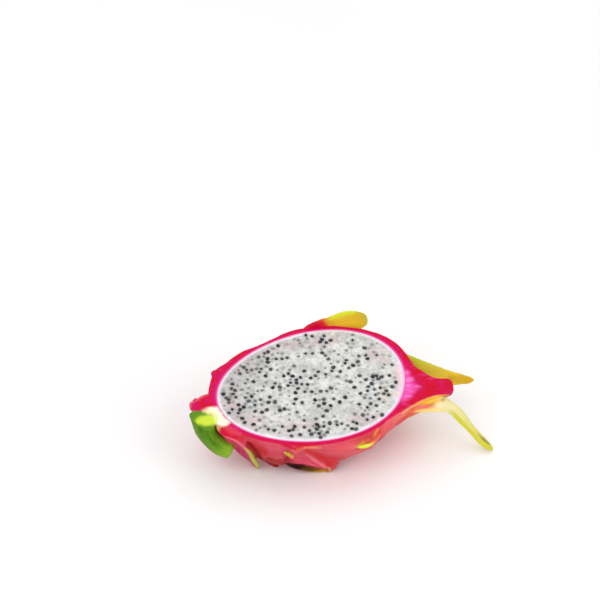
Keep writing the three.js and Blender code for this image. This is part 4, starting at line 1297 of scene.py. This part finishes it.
# A small kit for node trees. Inputs may be plain values, or sockets, which are linked.
class Tree:
    def __init__(self, tree):
        self.tree = tree
        tree.nodes.clear()

    def add(self, kind, inputs=None, **settings):
        node = self.tree.nodes.new(kind)
        for key, value in settings.items():
            setattr(node, key, value)
        for key, value in (inputs or {}).items():
            if isinstance(value, bpy.types.NodeSocket):
                self.tree.links.new(value, node.inputs[key])
            else:
                node.inputs[key].default_value = value
        return node

    def attribute(self, name, kind="Fac"):
        return self.add("ShaderNodeAttribute", attribute_name=name).outputs[kind]

    def maths(self, operation, a, b):
        return self.add("ShaderNodeMath", {0: a, 1: b}, operation=operation).outputs[0]

    def times(self, a, b):
        return self.maths("MULTIPLY", a, b)

    def plus(self, a, b):
        return self.maths("ADD", a, b)

    # Goes from start at low to end at high, softly.
    def span(self, value, low, high, start=0.0, end=1.0):
        inputs = {"Value": value, "From Min": low, "From Max": high, "To Min": start, "To Max": end}
        return self.add("ShaderNodeMapRange", inputs, interpolation_type="SMOOTHSTEP").outputs[0]

    def mix(self, share, a, b):
        return self.add("ShaderNodeMix", {0: share, 6: a, 7: b}, data_type="RGBA").outputs[2]

    # Lays colours over one another, each by its mask times its strength.
    def layers(self, under, covers):
        for mask, strength, over in covers:
            under = self.mix(mask if strength == 1 else self.times(mask, strength), under, over)
        return under

    def noise(self, vector, scale, detail=3.0, rough=0.5):
        inputs = {"Vector": vector, "Scale": scale, "Detail": detail, "Roughness": rough}
        return self.add("ShaderNodeTexNoise", inputs).outputs["Fac"]

    # Noise between -width / 2 and width / 2, which makes a straight border wander.
    def wander(self, noise, width):
        return self.times(self.plus(noise, -0.5), width)

    def objectCoordinates(self):
        return self.add("ShaderNodeTexCoord").outputs["Object"]

    def use(self, group, inputs):
        return self.add("ShaderNodeGroup", inputs, node_tree=group).outputs[0]

    def streaks(self, along, across):
        grain = self.attribute("grain", "Vector")
        return self.use(lengthStreaks, {"Grain": grain, "Along": along, "Across": across})

    def specks(self, place, fineness, low, high):
        return self.use(softSpecks, {"Place": place, "Fineness": fineness, "Low": low, "High": high})

    def bump(self, height, strength, distance):
        inputs = {"Height": height, "Strength": strength, "Distance": distance}
        return self.add("ShaderNodeBump", inputs).outputs[0]

    def finish(self, inputs):
        shader = self.add("ShaderNodeBsdfPrincipled", inputs)
        self.add("ShaderNodeOutputMaterial", {"Surface": shader.outputs[0]})


def newMaterial(name):
    material = bpy.data.materials.new(name)
    material.use_nodes = True
    return material, Tree(material.node_tree)


# A node group with one output. build() gets the tree and its inputs, and gives back the output.
def newGroup(name, vector, numbers, output, build):
    group = bpy.data.node_groups.new(name, "ShaderNodeTree")
    t = Tree(group)
    group.interface.new_socket(vector, in_out="INPUT", socket_type="NodeSocketVector")
    for label, value in numbers.items():
        group.interface.new_socket(label, in_out="INPUT", socket_type="NodeSocketFloat").default_value = value
    group.interface.new_socket(output, in_out="OUTPUT", socket_type="NodeSocketFloat")
    inputs = t.add("NodeGroupInput").outputs
    t.tree.links.new(build(t, inputs), t.add("NodeGroupOutput").inputs[0])
    return group


# Streaks that run along a leaf's midrib, the fruit's length or the stem: noise on the grain, which is
# stretched along it and across it.
def streaksInside(t, inputs):
    numbers = {"X": inputs["Along"], "Y": inputs["Across"], "Z": 1.0}
    stretch = t.add("ShaderNodeCombineXYZ", numbers).outputs[0]
    place = t.add("ShaderNodeVectorMath", {0: inputs["Grain"], 1: stretch}, operation="MULTIPLY").outputs[0]
    return t.noise(place, 1.0, 4.0, 0.58)


# Specks and small clouds: noise of a given fineness, cut off between Low and High.
def specksInside(t, inputs):
    return t.span(t.noise(inputs["Place"], inputs["Fineness"], 3.5, 0.6), inputs["Low"], inputs["High"])


lengthStreaks = newGroup("lengthStreaks", "Grain", {"Along": 0.05, "Across": 0.9}, "Streaks", streaksInside)
speckDefaults = {"Fineness": 900.0, "Low": 0.4, "High": 0.7}
softSpecks = newGroup("softSpecks", "Place", speckDefaults, "Specks", specksInside)

# Finishes. Streaks: how many along and across. Specks, clouds and the like: fineness, low and high.
# Bump: strength and height. Shader: what is the same all over.
rindColours = {
    "rose": srgb(214, 72, 96), "deepRose": srgb(200, 44, 68), "salmon": srgb(230, 104, 94),
    "vein": srgb(242, 138, 142), "shade": srgb(138, 10, 20),
    "gold": srgb(246, 196, 12), "straw": srgb(255, 255, 222), "leafGreen": srgb(172, 198, 30),
    "strawEdge": srgb(212, 208, 52), "turning": srgb(232, 112, 48),
    "crimson": srgb(208, 0, 42), "crimsonPink": srgb(213, 2, 84), "violet": srgb(204, 14, 112),
    "magenta": srgb(226, 10, 120), "edgePink": srgb(242, 130, 196), "fibre": srgb(244, 84, 180),
    "fibrePale": srgb(250, 140, 210),
    "cream": srgb(252, 250, 228), "creamYellow": srgb(240, 238, 168),
}
tintColours = {  # laid over one another in this order; the scarlet, deep red, mauve, umber and olive tints are painted shade, and the blush tint is partly painted highlight
    "flare": srgb(232, 90, 94), "scarletShade": srgb(204, 44, 44), "deepRedShade": srgb(140, 4, 10),
    "crimson": srgb(212, 0, 52), "mauveShade": srgb(172, 40, 84), "orange": srgb(238, 134, 86),
    "gold": srgb(250, 208, 76), "blushAndHighlight": srgb(248, 136, 150), "green": srgb(180, 202, 84),
    "lime": srgb(224, 244, 60), "butter": srgb(243, 223, 132), "darkGold": srgb(176, 140, 16),
    "umberShade": srgb(44, 14, 2), "oliveShade": srgb(98, 74, 8), "ochre": srgb(206, 144, 24),
}
rindFinish = {
    "streaks": (0.05, 0.9), "veins": (0.12, 2.6),
    "specks": (1100.0, 0.48, 0.72), "cloud": (75.0, 0.36, 0.64),
    "mottle": (330.0, 0.36, 0.66), "blotch": (210.0, 0.42, 0.6),
    "brush": (160, 320, 160), "fray": 3.4,  # fibres: how fine along x, y and z, and how far they fray
    "pithFineness": 520.0, "pithWander": 1.8, "gapWander": 1.6,  # millimetres
    "roughness": (0.4, 0.5), "bump": (0.4, 0.0005),
    "shader": {"Subsurface Weight": 0.1, "Subsurface Radius": (0.004, 0.001, 0.001),
               "Subsurface Scale": 0.4, "Specular IOR Level": 0.1},
}
fleshColours = {
    "pulp": srgb(229, 229, 224), "grey": srgb(164, 166, 164), "light": srgb(250, 250, 248),
    "dark": srgb(140, 142, 142), "dusky": srgb(208, 180, 182), "stain": srgb(238, 196, 152),
    "margin": srgb(244, 236, 244), "neckMargin": srgb(245, 216, 232), "edge": srgb(236, 124, 192),
    "neckEdge": srgb(252, 156, 216), "deepSeed": srgb(72, 78, 82), "halo": srgb(150, 153, 153),
}
fleshFinish = {
    "cloud": (130.0, 0.38, 0.66), "grain": (620.0, 0.44, 0.64), "fine": (1300.0, 0.42, 0.62),
    "blur": (380.0, 0.4, 0.62), "dusk": (260.0, 0.3, 0.6),
    "roughness": (0.28, 0.42), "bump": (0.25, 0.0004),
    "shader": {"Subsurface Weight": 0.2, "Subsurface Radius": (0.002, 0.002, 0.002),
               "Subsurface Scale": 0.4, "Specular IOR Level": 0.4},
}
seedFinish = {
    "dark": srgb(12, 14, 16), "light": srgb(34, 38, 42), "veiled": srgb(76, 82, 86),
    "specks": (1500.0, 0.4, 0.7), "bump": (0.2, 0.0001),
    "shader": {"Roughness": 0.34, "Specular IOR Level": 0.4},
}
stemColours = {
    "skin": srgb(98, 144, 18), "skinDark": srgb(66, 110, 8), "skinPale": srgb(150, 190, 44),
    "cutGreen": srgb(94, 140, 22), "bright": srgb(208, 228, 62), "cream": srgb(240, 238, 160),
}
stemFinish = {
    "streaks": (0.06, 0.6), "specks": (900.0, 0.45, 0.7), "wanderFineness": 380.0, "wander": 2.0,
    "bump": (0.35, 0.0005),
    "shader": {"Roughness": 0.42, "Subsurface Weight": 0.08, "Subsurface Radius": (0.002, 0.003, 0.001),
               "Subsurface Scale": 0.4, "Specular IOR Level": 0.14},
}
floorFinish = {
    "white": srgb(252, 252, 252), "shade": srgb(249, 249, 250),
    "shader": {"Roughness": 0.8, "Specular IOR Level": 0.2},
}


# Rind, pads and leaves on the outside, and the knife's face, chosen by the mask of the cut.
def rindMaterial():
    material, t = newMaterial("peel_rind")
    c, look, place = rindColours, rindFinish, t.objectCoordinates()
    streaks, veins = (t.streaks(*look[name]) for name in ("streaks", "veins"))
    specks, cloud, mottle, blotch = (
        t.specks(place, *look[name]) for name in ("specks", "cloud", "mottle", "blotch")
    )
    # the skin's own mottle, crests, veins and rims, with painted shade in the dip past each pad's tip
    skin = t.layers(c["rose"], [
        (cloud, 0.55, c["deepRose"]),
        (t.attribute("crest"), 0.5, c["salmon"]),
        (t.span(veins, 0.5, 0.72), 0.35, c["vein"]),
        (t.attribute("rim"), 0.5, c["vein"]),
        (specks, 0.22, c["vein"]),
        (t.attribute("dip"), 0.6, c["shade"]),
    ])
    # leaf colours, green to gold, over a short orange turn
    pale, turned = t.attribute("pale"), t.attribute("turned")
    leaf = t.layers(c["gold"], [
        (pale, 1, c["straw"]),
        (t.attribute("leafHue"), 1, c["leafGreen"]),
        (t.times(t.span(streaks, 0.42, 0.66), t.span(pale, 0.0, 1.0, 0.3, 0.08)), 1, c["leafGreen"]),
        (t.attribute("flange"), 1, c["strawEdge"]),
        (t.span(veins, 0.5, 0.7), 0.14, c["strawEdge"]),
    ])
    mark = {name: t.attribute(name + "Tint") for name in tints}
    # the tints go over everything: the scarlet, deep red, mauve, umber and olive ones are painted shade, and
    # the blush is partly painted highlight
    outside = t.layers(skin, [
        (t.span(turned, 0.0, 0.45), 1, c["turning"]),
        (t.span(turned, 0.35, 1.0), 1, leaf),
        *((mark[name], 1, colour) for name, colour in tintColours.items()),
    ])
    # the knife's face, in millimetres from the flesh: crimson, violet towards both ends, magenta and a
    # pale line beside the flesh; then fibres that fray towards the neck, and the pith round the stem
    gap, towardEnds = t.attribute("pulpGap"), t.attribute("towardEnds")
    unevenGap = t.plus(gap, t.times(mottle, look["gapWander"]))
    magentaReach = t.plus(t.times(towardEnds, 0.9), 0.9)
    stretched = t.add("ShaderNodeMapping", {"Vector": place, "Scale": look["brush"]}).outputs[0]
    brush = t.noise(stretched, 1.0)
    fray = t.plus(t.attribute("fibreDepth"), t.wander(brush, look["fray"]))
    strands = t.layers(c["fibre"], [(t.span(brush, 0.46, 0.66), 0.9, c["fibrePale"])])
    wander = t.wander(t.noise(place, look["pithFineness"]), look["pithWander"])
    pithDepth = t.plus(t.attribute("pithDepth"), wander)
    cut = t.layers(c["crimsonPink"], [
        (t.span(unevenGap, 0.9, 4.2), 1, c["crimson"]),
        (t.times(towardEnds, blotch), 0.6, c["violet"]),
        (t.span(t.maths("DIVIDE", gap, magentaReach), 0.15, 1.0, 0.9, 0.0), 1, c["magenta"]),
        (t.span(gap, 0.0, 0.55, 0.85, 0.0), 1, c["edgePink"]),
        (t.span(fray, -2.3, 2.2), 1, strands),
        (t.times(towardEnds, t.span(brush, 0.56, 0.7)), 0.3, c["fibre"]),
        (t.span(pithDepth, -1.5, 1.1), 1, t.mix(t.attribute("stemNear"), c["cream"], c["creamYellow"])),
        (mark["blushAndHighlight"], 0.8, tintColours["blushAndHighlight"]),
        (mark["green"], 0.8, tintColours["green"]),
    ])
    height = t.plus(t.times(veins, 0.8), t.times(t.plus(specks, mottle), 0.2))
    t.finish({
        "Base Color": t.mix(t.attribute("cutFace"), outside, cut), "Normal": t.bump(height, *look["bump"]),
        "Roughness": t.span(specks, 0.0, 1.0, *look["roughness"]), **look["shader"],
    })
    return material


# Pulp with clouds and grain, its edges, the halo round each seed and the seeds under the surface.
def fleshMaterial():
    material, t = newMaterial("flesh_pulp")
    c, look, place = fleshColours, fleshFinish, t.objectCoordinates()
    cloud, grain, fine, blur, dusk = (
        t.specks(place, *look[name]) for name in ("cloud", "grain", "fine", "blur", "dusk")
    )
    greyed, atNeck = t.attribute("greyed"), t.attribute("atNeck")
    # the pulp pales at its edge, and pinks towards the rind; near the neck both bands are wider
    inside = t.maths("DIVIDE", t.attribute("inside"), t.plus(t.times(atNeck, 1.2), 1.0))
    paling = t.span(t.plus(inside, t.times(grain, 0.8)), 0.8, 3.0, 0.78, 0.0)
    colour = t.layers(c["pulp"], [
        (cloud, 0.55, c["grey"]),
        (t.times(blur, t.span(greyed, 0.0, 1.0, 0.55, 0.95)), 1, c["grey"]),
        (greyed, 0.45, c["dark"]),
        (grain, 0.28, c["light"]),
        (fine, 0.12, c["dark"]),
        (t.times(t.attribute("dusky"), dusk), 0.75, c["dusky"]),
        (t.attribute("stain"), 0.6, c["stain"]),
        (paling, 1, t.mix(atNeck, c["margin"], c["neckMargin"])),
        (t.span(inside, 0.0, 0.7, 0.95, 0.0), 1, t.mix(atNeck, c["edge"], c["neckEdge"])),
        (t.span(t.attribute("crispNear"), 0.9, 2.1, 0.6, 0.0), 1, c["halo"]),
        (t.attribute("deepSeed"), 1, c["deepSeed"]),
    ])
    height = t.plus(t.times(grain, 0.7), t.times(fine, 0.3))
    t.finish({
        "Base Color": colour, "Roughness": t.span(cloud, 0.0, 1.0, *look["roughness"]),
        "Normal": t.bump(height, *look["bump"]), **look["shader"],
    })
    return material


# Seeds: nearly black, with fine specks, and paler where pulp covers them.
def seedMaterial():
    material, t = newMaterial("seed_coat")
    look = seedFinish
    specks = t.specks(t.objectCoordinates(), *look["specks"])
    colour = t.layers(look["dark"], [(specks, 1, look["light"]), (t.attribute("veil"), 1, look["veiled"])])
    t.finish({"Base Color": colour, "Normal": t.bump(specks, *look["bump"]), **look["shader"]})
    return material


# Green skin that pales towards the cut end, and the cut with its bright rim and its pith.
def stemMaterial():
    material, t = newMaterial("stem_skin")
    c, look, place = stemColours, stemFinish, t.objectCoordinates()
    streaks, specks = t.streaks(*look["streaks"]), t.specks(place, *look["specks"])
    skin = t.layers(c["skinDark"], [
        (t.span(streaks, 0.35, 0.65), 1, c["skin"]),
        (t.span(t.attribute("alongStem"), 0.6, 1.0, 0.0, 0.75), 1, c["skinPale"]),
        (specks, 0.2, c["skinPale"]),
    ])
    wander = t.wander(t.noise(place, look["wanderFineness"]), look["wander"])
    cut = t.layers(c["cutGreen"], [
        (t.span(t.plus(t.attribute("brightDepth"), wander), -1.6, 1.4), 1, c["bright"]),
        (t.span(t.plus(t.attribute("pithDepth"), wander), -1.4, 1.2), 1, c["cream"]),
    ])
    height = t.plus(t.times(streaks, 0.8), t.times(specks, 0.3))
    t.finish({
        "Base Color": t.mix(t.attribute("cutFace"), skin, cut), "Normal": t.bump(height, *look["bump"]),
        **look["shader"],
    })
    return material


# White, with a trace of soft unevenness.
def floorMaterial():
    material, t = newMaterial("floor_paint")
    soft = t.span(t.noise(t.objectCoordinates(), 3.0, 2.0), 0.3, 0.7)
    t.finish({"Base Color": t.mix(soft, floorFinish["white"], floorFinish["shade"]), **floorFinish["shader"]})
    return material


# Gives a piece its material, and puts it in the place of its node.
def dress(piece, material, node):
    piece.data.materials.clear()
    piece.data.materials.append(material)
    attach(piece, "root")
    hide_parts(node)
    print(piece.name, "built:", len(piece.data.vertices), "points,", len(piece.data.polygons), "faces")


rind = rindMaterial()
dress(buildPeel(), rind, "peel")
dress(buildBackLeaf(), rind, "peel")
dress(buildFlesh(), fleshMaterial(), "flesh")
dress(buildSeeds(), seedMaterial(), "flesh")
dress(buildStem(), stemMaterial(), "stem")

studio = {
    "floor": 12.0, "world": 0.74, "target": (0, 0, 0.03),
    "lamps": [  # name, place, size, power
        ("key", (-0.9, -1.2, 1.65), 1.8, 12.0),
        ("fill", (1.35, -1.05, 1.2), 1.8, 9.0),
        ("top", (0.15, 0.9, 1.95), 2.1, 6.6),
    ],
}
view = {
    "place": (-0.10328, -0.77081, 0.66504),
    "yaw": -7.0868, "down": 36.4225,  # degrees
    "lens": 115.4, "sensor": 36, "clip": (0.01, 60),
}


# One square face at height 0.
def addFloor():
    corners = np.array([(-1, -1, 0), (1, -1, 0), (1, 1, 0), (-1, 1, 0)], float) * studio["floor"]
    mesh = meshFromArrays("floor", corners, np.array([[0, 1, 2, 3]]), np.empty((0, 3), int))
    mesh.materials.append(floorMaterial())
    objectOf("floor", mesh)


# Even light from all round, and round lamps that face the fruit.
def addLights():
    world = bpy.data.worlds.new("studio")
    scene.world = world
    world.use_nodes = True
    background = world.node_tree.nodes["Background"]
    background.inputs["Color"].default_value = (1, 1, 1, 1)
    background.inputs["Strength"].default_value = studio["world"]
    for name, place, size, power in studio["lamps"]:
        lamp = bpy.data.lights.new(name, "AREA")
        lamp.shape = "DISK"
        lamp.size = size
        lamp.energy = power
        thing = objectOf(name, lamp)
        thing.location = place
        toTarget = Vector(studio["target"]) - Vector(place)
        thing.rotation_euler = toTarget.to_track_quat("-Z", "Y").to_euler()


# The lens, the place, and the turn: tipped down from level, then turned about z.
def addCamera():
    data = bpy.data.cameras.new("camera")
    data.lens = view["lens"]
    data.sensor_width = view["sensor"]
    data.clip_start, data.clip_end = view["clip"]
    camera = objectOf("camera", data)
    camera.location = view["place"]
    camera.rotation_euler = (math.radians(90 - view["down"]), 0, math.radians(view["yaw"]))
    scene.camera = camera


addFloor()
addLights()
addCamera()
scene.view_settings.view_transform = "Standard"
print("floor, lights and camera set")
